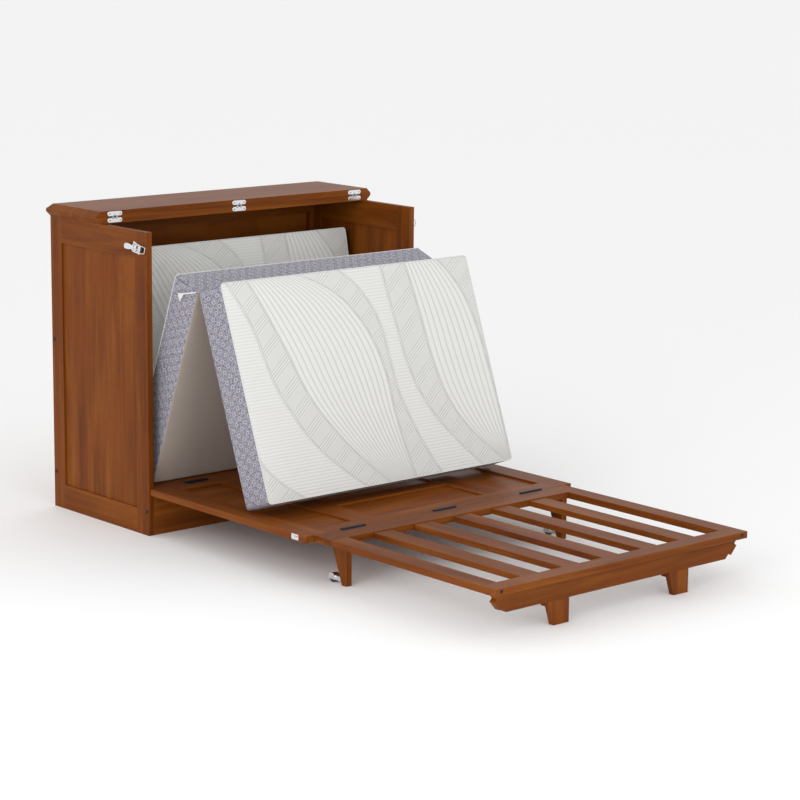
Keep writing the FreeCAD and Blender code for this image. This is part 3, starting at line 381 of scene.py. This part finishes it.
def screw_head(radius, rise):
    """A low domed head with a square recess whose floor is painted dark as shade, standing on Z =
    0.
    """
    head = bmesh.new()
    bmesh.ops.create_cone(head, cap_ends=True, segments=16, radius1=radius, radius2=radius * 0.72,
                          depth=rise)
    bmesh.ops.translate(head, vec=(0, 0, rise / 2), verts=head.verts)
    top = [face for face in head.faces if face.normal.z > 0.9]
    bmesh.ops.inset_region(head, faces=top, thickness=radius * 0.34, depth=0)
    bmesh.ops.translate(head, vec=(0, 0, -rise * 0.75), verts=top[0].verts)
    # Painted shade: the recess floor takes the second, dark finish, standing in for the shade in
    # the recess.
    for face in top:
        face.material_index = 1
    return head


facing_front = Matrix(((1, 0, 0), (0, 0, -1), (0, 1, 0))).to_4x4()


def hinge_leaves(name, body, way, node):
    """The three leaves on one side of the pin; way is -1 below it and 1 above."""
    shell = bmesh.new()
    for x in lid_hinge_places:
        leaf = round_ended_plate(leaf_length, leaf_height, leaf_thickness, leaf_softness)
        for side in (-1, 1):
            screw = screw_head(leaf_screw_radius, leaf_screw_rise)
            spot = (side * screw_spread, 0, leaf_thickness)
            bmesh.ops.translate(screw, vec=spot, verts=screw.verts)
            into(leaf, screw)
        arms = (0.0,) if way > 0 else (-lower_arm_spread, lower_arm_spread)
        for arm_x in arms:
            arm = round_ended_plate(arm_length, arm_width, leaf_thickness, arm_softness, 16)
            stretch_arm = upper_arm_stretch if way > 0 else lower_arm_stretch
            bmesh.ops.scale(arm, vec=(1, stretch_arm, 1), verts=arm.verts)
            bmesh.ops.translate(arm, vec=(arm_x, -way * arm_reach, 0), verts=arm.verts)
            into(leaf, arm)
        place = Matrix.Translation((x, leaf_front + leaf_thickness, lid_pin.z + way * leaf_offset))
        bmesh.ops.transform(leaf, matrix=place @ facing_front, verts=leaf.verts)
        into(shell, leaf)
    leaves = new_piece(name, shell, body, "bright_metal", nickel_plate, black_steel)
    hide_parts(node)


hinge_leaves("lid_hinge_lower_leaves", "cabinet", -1, "lid_hinge_fixed_leaves")
hinge_leaves("lid_hinge_upper_leaves", "lid", 1, "lid_hinge_moving_leaves")

knuckle_shell = bmesh.new()
for x in lid_hinge_places:
    knuckle = bmesh.new()
    bmesh.ops.create_cone(knuckle, cap_ends=True, segments=24, radius1=knuckle_radius,
                          radius2=knuckle_radius, depth=knuckle_length)
    ends = [edge for edge in knuckle.edges if abs(edge.verts[0].co.z - edge.verts[1].co.z) < 1e-6]
    bmesh.ops.bevel(knuckle, geom=ends, offset=0.0005, segments=2, profile=0.5, affect="EDGES",
                    material=-1)
    turn = Matrix.Translation((x, lid_pin.y, lid_pin.z)) @ Matrix.Rotation(math.pi / 2, 4, "Y")
    bmesh.ops.transform(knuckle, matrix=turn, verts=knuckle.verts)
    into(knuckle_shell, knuckle)
new_piece("lid_hinge_knuckles", knuckle_shell, "lid", "black_steel", black_steel)

# ---- caster wheels ----
# Moulded plastic treads that turn on a steel axle under each hood.
tread = Finish("wheel_plastic", Roughness=0.5)
scuffs = tread.noise(tread.stretched((1, 1, 1)), 240.0, 3.0)
tread_tone = tread.mix(scuffs, (0.012, 0.013, 0.015, 1), (0.04, 0.042, 0.046, 1))
wheel_plastic = tread.surface(Base_Color=tread_tone, Roughness=0.42 + scuffs * 0.2,
                              Normal=tread.bump(scuffs, 0.0003, 0.3))
dress(wheel_plastic, "wheel_plastic", "left_caster_wheel", "right_caster_wheel")

# ---- draw latches ----
# A pressed steel lever turns on a pin between each base's ears and carries a bent wire loop,
# which hooks over the catch on the closed panel. A dark stop stands inside the loop.
latch_tilt = math.radians(17)
latch_rise = 0.007
lever_slant = math.tan(math.radians(14))
lever_plate_low = 0.0086
lever_plate_thickness = 0.0016
lever_tube_length = 0.018
lever_outline = ((0.0024, 0.0062), (-0.0140, 0.0062), (-0.0300, 0.0098), (-0.0535, 0.0094))
bend_start = 0.004
latch_pivot = (0.551, 0.5595, 0.911)
stop_reach = 0.0290
wire_radius = 0.0012
loop_pivot = -0.012
loop_line = ((loop_pivot, 0.0045), (loop_pivot, 0.0125), (-0.0070, 0.0138), (0.0150, 0.0128),
             (0.0400, 0.0112), (0.0490, 0.0100), (0.0490, 0.0040))


def slanted(x, y):
    """Where a point of the latch lies, as lever and loop are both bent nearer to level."""
    bent = x + bend_start if x < -bend_start else max(0.0, x - bend_start)
    return y + bent * lever_slant


def lever_shell():
    """The teardrop plate with its two pin tubes and two slots, each a thin dark plate painted as
    the shade in it, lying on its own axes.
    """
    shell = bmesh.new()
    corners = [shell.verts.new((x, y, lever_plate_low)) for x, y in lever_outline]
    corners += [shell.verts.new((x, -y, lever_plate_low)) for x, y in reversed(lever_outline)]
    shell.faces.new(corners)
    tips = [vertex for vertex in shell.verts if vertex.co.x < -0.05]
    bmesh.ops.bevel(shell, geom=tips, offset=0.0090, segments=7, profile=0.5, affect="VERTICES",
                    material=-1)
    shoulders = [vertex for vertex in shell.verts if -0.031 < vertex.co.x < -0.013]
    bmesh.ops.bevel(shell, geom=shoulders, offset=0.0050, segments=4, profile=0.5,
                    affect="VERTICES", material=-1)
    grown = bmesh.ops.extrude_face_region(shell, geom=shell.faces[:])
    lifted = [item for item in grown["geom"] if isinstance(item, bmesh.types.BMVert)]
    bmesh.ops.translate(shell, vec=(0, 0, lever_plate_thickness), verts=lifted)
    rim = [edge for edge in shell.edges
           if min(v.co.z for v in edge.verts) > lever_plate_low + lever_plate_thickness * 0.9]
    bmesh.ops.bevel(shell, geom=rim, offset=0.0006, segments=3, profile=0.5, affect="EDGES",
                    material=-1)
    for vertex in shell.verts:
        vertex.co.y = slanted(vertex.co.x, vertex.co.y)
    for x, radius in ((0.0, 0.0030), (loop_pivot, 0.0026)):
        tube = bmesh.new()
        bmesh.ops.create_cone(tube, cap_ends=True, segments=28, radius1=radius, radius2=radius,
                              depth=lever_tube_length)
        rims = [edge for edge in tube.edges if abs(edge.verts[0].co.z - edge.verts[1].co.z) < 1e-6]
        bmesh.ops.bevel(tube, geom=rims, offset=0.0005, segments=2, profile=0.5, affect="EDGES",
                        material=-1)
        spot = Matrix.Translation((x, slanted(x, 0), latch_rise))
        turn = spot @ Matrix.Rotation(math.pi / 2, 4, "X")
        bmesh.ops.transform(tube, matrix=turn, verts=tube.verts)
        into(shell, tube)
    # Painted shade: each slot is a thin plate in the second, dark finish laid on the lever,
    # standing in for the shade in the opening.
    for y in (-0.0036, 0.0036):
        slot = round_ended_plate(0.0052, 0.0022, 0.0003, 0.0001, 12)
        spot = (-0.0040, y, lever_plate_low + lever_plate_thickness - 0.0001)
        bmesh.ops.translate(slot, vec=spot, verts=slot.verts)
        for face in slot.faces:
            face.material_index = 1
        into(shell, slot)
    return shell


def swept_shell(line):
    """The mesh that a curve sweeps out, smooth and in its first material."""
    guide = bpy.data.objects.new("guide", line)
    mesh = bpy.data.meshes.new_from_object(guide)
    bpy.data.objects.remove(guide)
    shell = bmesh.new()
    shell.from_mesh(mesh)
    bpy.data.meshes.remove(mesh)
    for face in shell.faces:
        face.smooth = True
        face.material_index = 0
    return shell


def loop_shell():
    """The bent wire, open between its two pivots."""
    line = bpy.data.curves.new("loop_line", "CURVE")
    line.dimensions = "3D"
    line.bevel_depth = wire_radius
    line.bevel_resolution = 3
    line.use_fill_caps = True
    wire = line.splines.new("NURBS")
    both = list(loop_line) + [(x, -y) for x, y in reversed(loop_line)]
    wire.points.add(len(both) - 1)
    for point, (x, y) in zip(wire.points, both):
        point.co = (x, slanted(x, y), latch_rise, 1)
    wire.order_u = 3
    wire.use_endpoint_u = True
    return swept_shell(line)


def stop_shell():
    """The dark round-ended stop inside the loop."""
    stop = round_ended_plate(0.0200, 0.0110, 0.0050, 0.0008, 20)
    quarter = Matrix.Rotation(math.pi / 2, 4, "Z")
    place = Matrix.Translation((stop_reach, slanted(stop_reach, 0), 0)) @ quarter
    bmesh.ops.transform(stop, matrix=place, verts=stop.verts)
    return stop


stops = bmesh.new()
for side_name, side in (("left", -1), ("right", 1)):
    forward = Vector((0, -math.cos(latch_tilt), -math.sin(latch_tilt)))
    upward = Vector((0, -math.sin(latch_tilt), math.cos(latch_tilt)))
    turn = Matrix((forward, upward, Vector((side, 0, 0)))).transposed().to_4x4()
    pivot = (side * latch_pivot[0], latch_pivot[1], latch_pivot[2])
    latch_place = Matrix.Translation(pivot) @ turn
    shell = lever_shell()
    bmesh.ops.transform(shell, matrix=latch_place, verts=shell.verts)
    lever = new_piece(side_name + "_lever_plate", shell, side_name + "_lever", "bright_metal",
                      nickel_plate, black_steel)
    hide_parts(side_name + "_latch_lever")
    shell = loop_shell()
    bmesh.ops.transform(shell, matrix=latch_place, verts=shell.verts)
    loop = new_piece(side_name + "_wire_loop", shell, side_name + "_bail", "bright_metal",
                     nickel_plate)
    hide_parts(side_name + "_latch_bail")
    stop = stop_shell()
    bmesh.ops.transform(stop, matrix=latch_place, verts=stop.verts)
    into(stops, stop)
new_piece("latch_stops", stops, "cabinet", "black_steel", black_steel)

# ---- mattress ----
# Foam in three folding thirds under one zipped cover: a white knit face, a patterned mesh border
# and a plain woven underside. One third stands behind, two are propped like a tent.
mattress_width = 1.010
mattress_offset = 0.005
fold_length = 0.690
edge_thickness = 0.119
crown = 0.003
corner_radius = 0.011
cover_tuck = 0.0020
cover_swell = 0.0018
border_swell = 0.0013
underside_swell = 0.0011
swell_steps = 20
piping_radius = 0.0013
piping_inset = 0.0008
fold_tilt = math.radians(20.4)
rear_lean = math.radians(12)
fold_gap = 0.00025
heel = Vector((mattress_offset, 0.5575, 0.1522))


def knit_face(name, turned):
    """White knit with sweeping bands: fine stripes, curved pin lines and hatched blocks, their
    grooves and sunk plain blocks darkened as painted shade.
    """
    knit = Finish(name, Roughness=0.85, Sheen_Weight=0.25, Sheen_Roughness=0.5)
    place = knit.cloth_place()
    parts = knit.add("SeparateXYZ", None, {0: place})
    across = parts / mattress_width + 0.5
    along = Signal(knit, parts.socket.node.outputs[1]) / fold_length
    down = along if turned else 1.0 - along
    step = down.maths("MULTIPLY", down, 1.0, clamp=True)

    def sweep(*places):
        return knit.add("FloatCurve", {"points": places}, {"Value": step})

    corner = sweep((0, 0.0), (0.78, 0.0), (0.87, 0.035), (1, 0.145))
    first_left = sweep((0, 0.02), (0.2, 0.078), (0.485, 0.121), (0.615, 0.158), (0.785, 0.227),
                       (0.9, 0.305), (1, 0.388))
    first_right = sweep((0, 0.10), (0.19, 0.153), (0.35, 0.193), (0.5, 0.225), (0.61, 0.259),
                        (0.72, 0.308), (0.85, 0.378), (1, 0.482))
    slim_left = sweep((0, 0.29), (0.11, 0.427), (0.215, 0.49), (0.337, 0.532), (0.5, 0.556),
                      (0.68, 0.558), (0.82, 0.566), (1, 0.585))
    slim_right = sweep((0, 0.455), (0.08, 0.515), (0.167, 0.552), (0.276, 0.578), (0.45, 0.586),
                       (0.61, 0.594), (0.73, 0.616), (0.89, 0.656), (1, 0.697))
    wide_left = sweep((0, 0.630), (0.26, 0.640), (0.485, 0.653), (0.6, 0.673), (0.72, 0.712),
                      (0.83, 0.765), (1, 0.872))
    wide_right = sweep((0, 0.733), (0.24, 0.748), (0.5, 0.762), (0.65, 0.785), (0.78, 0.830),
                       (0.88, 0.886), (1, 0.972))
    last_left = sweep((0, 0.868), (0.13, 0.93), (0.22, 0.956), (0.33, 0.973), (0.5, 0.985),
                      (1, 0.992))
    edges = [corner, first_left, first_right, slim_left, slim_right, wide_left, wide_right,
             last_left]

    def between(left, right):
        return (across > left) * (across < right)

    def line(distance, half_width):
        return 1.0 - abs(distance).ramp(half_width * 0.35, half_width)

    def pins(left, right, count):
        spot = (across - left) / (right - left) * count
        fold = abs(spot % 1.0 - 0.5)
        width = 0.0035 / ((right - left) / count)
        return (1.0 - ((0.5 - fold) / width).ramp(0.35, 1.0)) * between(left, right)

    rib_phase = (down * (fold_length / 0.0102)) % 1.0
    ribs = 1.0 - abs(rib_phase - 0.5).ramp(0.05, 0.34)
    striped = between(corner, first_left).most(between(slim_right, wide_left))
    slant = down * (fold_length * 0.80) + across * (mattress_width * 0.60)
    block = (slant / 0.0672) % 1.0
    hatch_phase = (slant / 0.0084) % 1.0
    hatch = (1.0 - abs(hatch_phase - 0.5).ramp(0.10, 0.32)) * (block > 0.5)
    banded = between(first_left, first_right).most(between(slim_left, slim_right))
    banded = banded.most(between(wide_left, wide_right)).most(across > last_left)
    banded = banded.most(across < corner)
    outlines = None
    for edge in edges:
        for offset in (-0.0032, 0.0032):
            mark = line(across - edge - offset, 0.0021)
            outlines = mark if outlines is None else outlines.most(mark)
    pin_lines = pins(first_right, slim_left, 15.0).most(pins(wide_right, last_left, 9.0))
    shaded_grooves = (ribs * striped * 0.45).most(hatch * banded * 1.1)
    shaded_grooves = shaded_grooves.most(outlines).most(pin_lines * 0.9)
    shaded_plain_blocks = banded * (block < 0.5) * 0.34
    stitches = knit.noise(knit.scaled(place, (700, 420, 1)), 1.0, 2.0)
    soft = knit.noise(knit.scaled(place, (9, 9, 1)), 1.0, 2.0)
    # Painted shade: the grooves and sunk plain blocks are darkened towards the grey, standing in
    # for the shade in them; the stitch and soft noise only vary the tone.
    painted_shade_and_tone = shaded_grooves * 0.50 + shaded_plain_blocks * 0.75 + stitches * 0.14 + soft * 0.08
    colour = knit.mix(painted_shade_and_tone, (0.71, 0.71, 0.695, 1), (0.40, 0.405, 0.385, 1))
    height = stitches * 0.18 - shaded_grooves - shaded_plain_blocks * 0.5
    return knit.surface(Base_Color=colour, Normal=knit.bump(height, 0.0016, 0.55),
                        Roughness=0.78 + stitches * 0.12)


def border_mesh():
    """Blue-grey mesh cloth with a staggered lattice of small pale rings."""
    mesh_cloth = Finish("border_mesh", Roughness=0.8, Sheen_Weight=0.2, Sheen_Roughness=0.5)
    place = mesh_cloth.cloth_place()
    ring_scale = (1 / 0.0255, 1 / 0.0255, 1)
    slanting = {"Vector": place, "Rotation": (0, 0, math.radians(45)), "Scale": ring_scale}
    turned = mesh_cloth.add("Mapping", None, slanting)
    ring_cells = {"Vector": turned, "Scale": 1.0, "Randomness": 0.0}
    reach = mesh_cloth.add("TexVoronoi", {"voronoi_dimensions": "2D"}, ring_cells)
    ring = 1.0 - abs(reach - 0.21).ramp(0.03, 0.095)
    bead = 1.0 - reach.ramp(0.03, 0.09)
    fine = mesh_cloth.scaled(place, (1 / 0.0060, 1 / 0.0060, 1))
    small_cells = {"Vector": fine, "Scale": 1.0, "Randomness": 0.55}
    speck = mesh_cloth.add("TexVoronoi", {"voronoi_dimensions": "2D"}, small_cells)
    loops = 1.0 - abs(speck - 0.34).ramp(0.05, 0.16)
    pale = (ring * 0.85).most(bead * 0.6).most(loops * 0.80 * (reach > 0.30))
    shade = mesh_cloth.noise(mesh_cloth.scaled(place, (60, 60, 1)))
    colour = mesh_cloth.mix(pale + shade * 0.12, (0.075, 0.070, 0.100, 1), (0.47, 0.455, 0.515, 1))
    relief = mesh_cloth.bump(pale, 0.0012, 0.5)
    return mesh_cloth.surface(Base_Color=colour, Normal=relief, Roughness=0.72 + shade * 0.15)


def plain_underside():
    """Beige woven cloth under each third."""
    weave = Finish("woven_underside", Roughness=0.88, Sheen_Weight=0.15)
    place = weave.cloth_place()
    warp = weave.noise(weave.scaled(place, (900, 240, 1)), 1.0, 2.0)
    weft = weave.noise(weave.scaled(place, (240, 900, 1)), 1.0, 2.0)
    threads = warp * 0.5 + weft * 0.5
    colour = weave.mix(threads.ramp(0.3, 0.7), (0.34, 0.285, 0.245, 1), (0.46, 0.395, 0.345, 1))
    return weave.surface(Base_Color=colour, Normal=weave.bump(threads, 0.0006, 0.5),
                         Roughness=0.80 + threads * 0.12)


border_cloth = border_mesh()
underside_cloth = plain_underside()
thread = Finish("piping_cloth", Roughness=0.85)
twist = thread.noise(thread.stretched((1, 1, 1)), 900.0, 2.0)
thread_tone = thread.mix(twist, (0.58, 0.58, 0.56, 1), (0.74, 0.74, 0.72, 1))
piping_cloth = thread.surface(Base_Color=thread_tone, Normal=thread.bump(twist, 0.0006, 0.5))


def cut_grid(shell, normal, spots):
    """Cut the whole shell with planes square to one axis, for vertices to shape."""
    for spot in spots:
        everything = shell.verts[:] + shell.edges[:] + shell.faces[:]
        bmesh.ops.bisect_plane(shell, geom=everything, dist=1e-6, plane_no=normal,
                               plane_co=Vector(normal) * spot)


def swell_cover(third, seams):
    """Let the cover swell over its foam as cloth between its seams, then keep the shape."""
    points = third.data.vertices
    start = [point.co.copy() for point in points]
    stitched = third.vertex_groups.new(name="seams")
    stitched.add(seams, 1.0, "REPLACE")
    cover = third.modifiers.new("cover", "CLOTH")
    cover.settings.quality = 4
    cover.settings.tension_stiffness = 40
    cover.settings.compression_stiffness = 40
    cover.settings.use_pressure = True
    cover.settings.uniform_pressure_force = 4
    cover.settings.effector_weights.gravity = 0
    cover.settings.vertex_group_mass = "seams"
    for moment in range(1, swell_steps + 1):
        bpy.context.scene.frame_set(moment)
    swollen = third.evaluated_get(bpy.context.evaluated_depsgraph_get()).data
    moves = [after.co - before for after, before in zip(swollen.vertices, start)]
    third.modifiers.remove(cover)
    third.vertex_groups.clear()
    bpy.context.scene.frame_set(1)
    for point, before, move in zip(points, start, moves):
        if before.z > 0.99 * edge_thickness:
            most = cover_swell
        else:
            most = border_swell if before.z > underside_swell * 1.3 else underside_swell
        if move.length > 1e-7:
            move *= most * (1 - math.exp(-move.length / most)) / move.length
        point.co = before + move


def mattress_third(name, node, body, corner, length_way, thickness_way, face_cloth):
    """One padded third, shaped lying flat and then set in its place."""
    shell = bmesh.new()
    bmesh.ops.create_cube(shell, size=1.0)
    foam = edge_thickness - underside_swell
    size = Vector((mattress_width - 2 * cover_tuck, fold_length - 2 * cover_tuck, foam))
    bmesh.ops.scale(shell, vec=size, verts=shell.verts)
    middle = (0, fold_length / 2, edge_thickness - foam / 2)
    bmesh.ops.translate(shell, vec=middle, verts=shell.verts)
    upright = [edge for edge in shell.edges
               if abs(edge.verts[0].co.z - edge.verts[1].co.z) > 0.01]
    bmesh.ops.bevel(shell, geom=upright, offset=corner_radius, segments=3, profile=0.5,
                    affect="EDGES", material=-1)
    half = mattress_width / 2
    cut_grid(shell, (1, 0, 0), [half * step / 18 for step in range(-17, 18)])
    cut_grid(shell, (0, 1, 0), [fold_length * step / 26 for step in range(1, 26)])
    cut_grid(shell, (0, 0, 1), [edge_thickness * step / 6 for step in range(1, 6)])
    bmesh.ops.recalc_face_normals(shell, faces=shell.faces[:])
    shell.normal_update()
    cloth_map = shell.loops.layers.uv.new("cloth")
    for face in shell.faces:
        flat = abs(face.normal.z) > 0.7
        face.material_index = (0 if face.normal.z > 0 else 2) if flat else 1
        sideways = abs(face.normal.x) > abs(face.normal.y)
        for loop in face.loops:
            spot = loop.vert.co
            if face.material_index == 1:
                run = spot.y if sideways else spot.x
                loop[cloth_map].uv = (run * 1.1, spot.z * 0.78)
            else:
                loop[cloth_map].uv = (spot.x, spot.y)
        face.smooth = True
    shell.verts.index_update()
    seams = [vertex.index for vertex in shell.verts
             if {abs(face.normal.z) > 0.7 for face in vertex.link_faces} == {True, False}]
    stitched = set(seams)
    for vertex in shell.verts:
        if vertex.index in stitched:
            continue
        x = vertex.co.x / half
        y = vertex.co.y / (fold_length / 2) - 1
        rim = min(1.0, max(abs(x), abs(y)))
        ripple = noise.noise(vertex.co * 16) * 0.0006
        if vertex.co.z > 0.99 * edge_thickness:
            vertex.co.z += 0.0012 * math.sqrt(1 - rim ** 6) + ripple * 0.5 * (1 - rim)
        elif vertex.co.z > underside_swell * 1.3:
            vertex.co.x += ripple if abs(x) > abs(y) else 0
            vertex.co.y += ripple if abs(y) >= abs(x) else 0
    mesh = bpy.data.meshes.new(name)
    shell.to_mesh(mesh)
    shell.free()
    for material in (face_cloth, border_cloth, underside_cloth):
        mesh.materials.append(material)
    third = bpy.data.objects.new(name, mesh)
    collection.objects.link(third)
    swell_cover(third, seams)
    across_way = length_way.cross(thickness_way)
    turn = Matrix((across_way, length_way, thickness_way)).transposed().to_4x4()
    place = Matrix.Translation(corner) @ turn
    mesh.transform(place)
    hem = third.modifiers.new("hem", "BEVEL")
    hem.width = 0.0030
    hem.segments = 2
    hem.limit_method = "ANGLE"
    hem.angle_limit = math.radians(50)
    rounding = third.modifiers.new("rounding", "SUBSURF")
    rounding.levels = 1
    rounding.render_levels = 1
    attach(third, body)
    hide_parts(node)

    # The white face's seam allowance, rolled over the border as a fine piping.
    outline = bmesh.new()
    bmesh.ops.create_circle(outline, cap_ends=True, segments=4, radius=1.0)
    inset = cover_tuck + piping_inset
    for vertex, (x, y) in zip(outline.verts, ((1, 1), (-1, 1), (-1, -1), (1, -1))):
        vertex.co = (x * (half - inset), fold_length / 2 + y * (fold_length / 2 - inset),
                     edge_thickness)
    bmesh.ops.bevel(outline, geom=outline.verts[:], offset=corner_radius, segments=4, profile=0.5,
                    affect="VERTICES", material=-1)
    line = bpy.data.curves.new(name + "_piping_line", "CURVE")
    line.dimensions = "3D"
    line.bevel_depth = piping_radius
    line.bevel_resolution = 2
    run = line.splines.new("POLY")
    path = [loop.vert.co.copy() for loop in outline.faces[:][0].loops]
    outline.free()
    run.points.add(len(path) - 1)
    for point, spot in zip(run.points, path):
        point.co = (*spot, 1)
    run.use_cyclic_u = True
    shell = swept_shell(line)
    bmesh.ops.transform(shell, matrix=place, verts=shell.verts)
    new_piece(name + "_piping", shell, body, "mattress_cloth", piping_cloth)


middle_up = Vector((0, -math.sin(fold_tilt), math.cos(fold_tilt)))
middle_out = Vector((0, math.cos(fold_tilt), math.sin(fold_tilt)))
thickness = edge_thickness + crown
bottom_fold = heel + middle_out * (thickness + fold_gap)
top_fold = heel + middle_up * fold_length - middle_out * fold_gap
rear_up = Vector((0, math.sin(rear_lean), math.cos(rear_lean)))
rear_out = Vector((0, -math.cos(rear_lean), math.sin(rear_lean)))
rear_corner = bottom_fold - rear_out * (thickness + fold_gap)
front_up = Vector((0, math.sin(fold_tilt), math.cos(fold_tilt)))
front_out = Vector((0, -math.cos(fold_tilt), math.sin(fold_tilt)))
front_corner = top_fold + front_out * fold_gap - front_up * fold_length

mattress_third("middle_third", "mattress_middle", "mattress_middle_third", heel, middle_up,
               middle_out, knit_face("knit_middle", True))
mattress_third("rear_third", "mattress_rear", "mattress_back_third", rear_corner, rear_up,
               rear_out, knit_face("knit_rear", False))
mattress_third("front_third", "mattress_front", "mattress_front_third", front_corner, front_up,
               front_out, knit_face("knit_front", False))

# ---- fold strips ----
# Tapes of the cover's border cloth sewn along the two folds, so that the thirds hinge on them,
# each folded over on itself and puckered a little by its stitches.


def fold_tape(name, node, body, arch_width, arch_height, lift=0.0):
    """A folded tape standing where its node is, its open side down."""
    low, high = (Vector(corner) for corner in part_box(node))
    middle = (low + high) / 2
    shell = bmesh.new()
    bmesh.ops.create_grid(shell, x_segments=90, y_segments=8, size=0.5)
    cloth_map = shell.loops.layers.uv.new("cloth")
    for face in shell.faces:
        face.smooth = True
        for loop in face.loops:
            loop[cloth_map].uv = (loop.vert.co.x * (high.x - low.x) * 0.8, loop.vert.co.y * 0.02)
    for vertex in shell.verts:
        x = middle.x + vertex.co.x * (high.x - low.x)
        bend = vertex.co.y * math.radians(200)
        pucker = 1 + 0.10 * noise.noise(Vector((x * 60, vertex.co.y * 2, 0)))
        vertex.co = (x, middle.y + arch_width * math.sin(bend) * pucker,
                     low.z + lift + arch_height * (0.16 + 0.84 * math.cos(bend) * pucker) * 0.92)
    tape = new_piece(name, shell, body, "mattress_cloth", border_cloth)
    wall = tape.modifiers.new("cloth thickness", "SOLIDIFY")
    wall.thickness = 0.0005
    wall.offset = -1
    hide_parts(node)


fold_tape("bottom_fold_tape", "mattress_bottom_strip", "mattress_fold", 0.0010, 0.0056)
fold_tape("top_fold_tape", "mattress_top_strip", "mattress_top_fold", 0.0009, 0.0018, 0.0021)

# ---- loose tab ----
# A white woven tab caught in the seam at the left end of the top fold. It lies against the
# middle third's border, and its wide end hangs.
tab_side = mattress_offset - mattress_width / 2 - 0.0022
tab_outline = ((0.3190, 0.7945), (0.3185, 0.7985), (0.3500, 0.7925), (0.3790, 0.7880),
               (0.4120, 0.7835), (0.4130, 0.7790), (0.4020, 0.7560), (0.3860, 0.7800),
               (0.3780, 0.7835), (0.3480, 0.7885))
tab_seam = 0.325
tab_free_run = 0.05
tab_shell = bmesh.new()
tab_shell.faces.new([tab_shell.verts.new((tab_side, y, z)) for y, z in tab_outline])
bmesh.ops.triangulate(tab_shell, faces=tab_shell.faces[:])
bmesh.ops.subdivide_edges(tab_shell, edges=tab_shell.edges[:], cuts=3, use_grid_fill=True)
for vertex in tab_shell.verts:
    ruffle = noise.noise(vertex.co * 90)
    freedom = min(1.0, max(0.0, (vertex.co.y - tab_seam) / tab_free_run))
    vertex.co.x -= 0.0012 * (ruffle + 0.6) * freedom
for face in tab_shell.faces:
    face.smooth = True
tab_area = sum(face.calc_area() for face in tab_shell.faces)
tab = new_piece("loose_tab", tab_shell, "mattress_middle_third", "mattress_cloth", piping_cloth)
tab_wall = tab.modifiers.new("cloth thickness", "SOLIDIFY")
tab_wall.thickness = 0.0006
tab_wall.offset = 0

# ---- floor and light ----
# A pale studio floor that runs out past the view, a white surround that is a little weaker
# overhead, a wide soft light off the foot's left corner and a weaker one off the foot.
floor_mesh = bpy.data.meshes.new("floor")
sheet = bmesh.new()
bmesh.ops.create_grid(sheet, x_segments=1, y_segments=1, size=80)
sheet.to_mesh(floor_mesh)
sheet.free()
floor = bpy.data.objects.new("floor", floor_mesh)
collection.objects.link(floor)
paper = Finish("studio_floor", Roughness=0.9)
floor_mesh.materials.append(paper.surface(Base_Color=(0.95, 0.95, 0.95, 1)))

world = bpy.data.worlds.new("studio")
bpy.context.scene.world = world
world.use_nodes = True
surround = world.node_tree.nodes
direction = surround.new("ShaderNodeTexCoord")
height = surround.new("ShaderNodeSeparateXYZ")
fade = surround.new("ShaderNodeMapRange")
fade.inputs["From Min"].default_value = 0.12
fade.inputs["From Max"].default_value = 1.0
fade.inputs["To Min"].default_value = 1.12
fade.inputs["To Max"].default_value = 0.82
world.node_tree.links.new(direction.outputs["Generated"], height.inputs[0])
world.node_tree.links.new(height.outputs["Z"], fade.inputs["Value"])
world.node_tree.links.new(fade.outputs[0], surround["Background"].inputs["Strength"])
surround["Background"].inputs["Color"].default_value = (1, 1, 1, 1)
bpy.context.scene.view_settings.view_transform = "Standard"
for name, place, size, power in (("key", (-5.2, -2.2, 2.4), 3.2, 95),
                                 ("fill", (-1.2, -5.8, 1.7), 3.0, 55)):
    lamp_data = bpy.data.lights.new(name, "AREA")
    lamp_data.size = size
    lamp_data.energy = power
    lamp = bpy.data.objects.new(name, lamp_data)
    collection.objects.link(lamp)
    lamp.location = place
    toward = Vector((0, 0, 0.4)) - Vector(place)
    lamp.rotation_euler = toward.to_track_quat("-Z", "Y").to_euler()
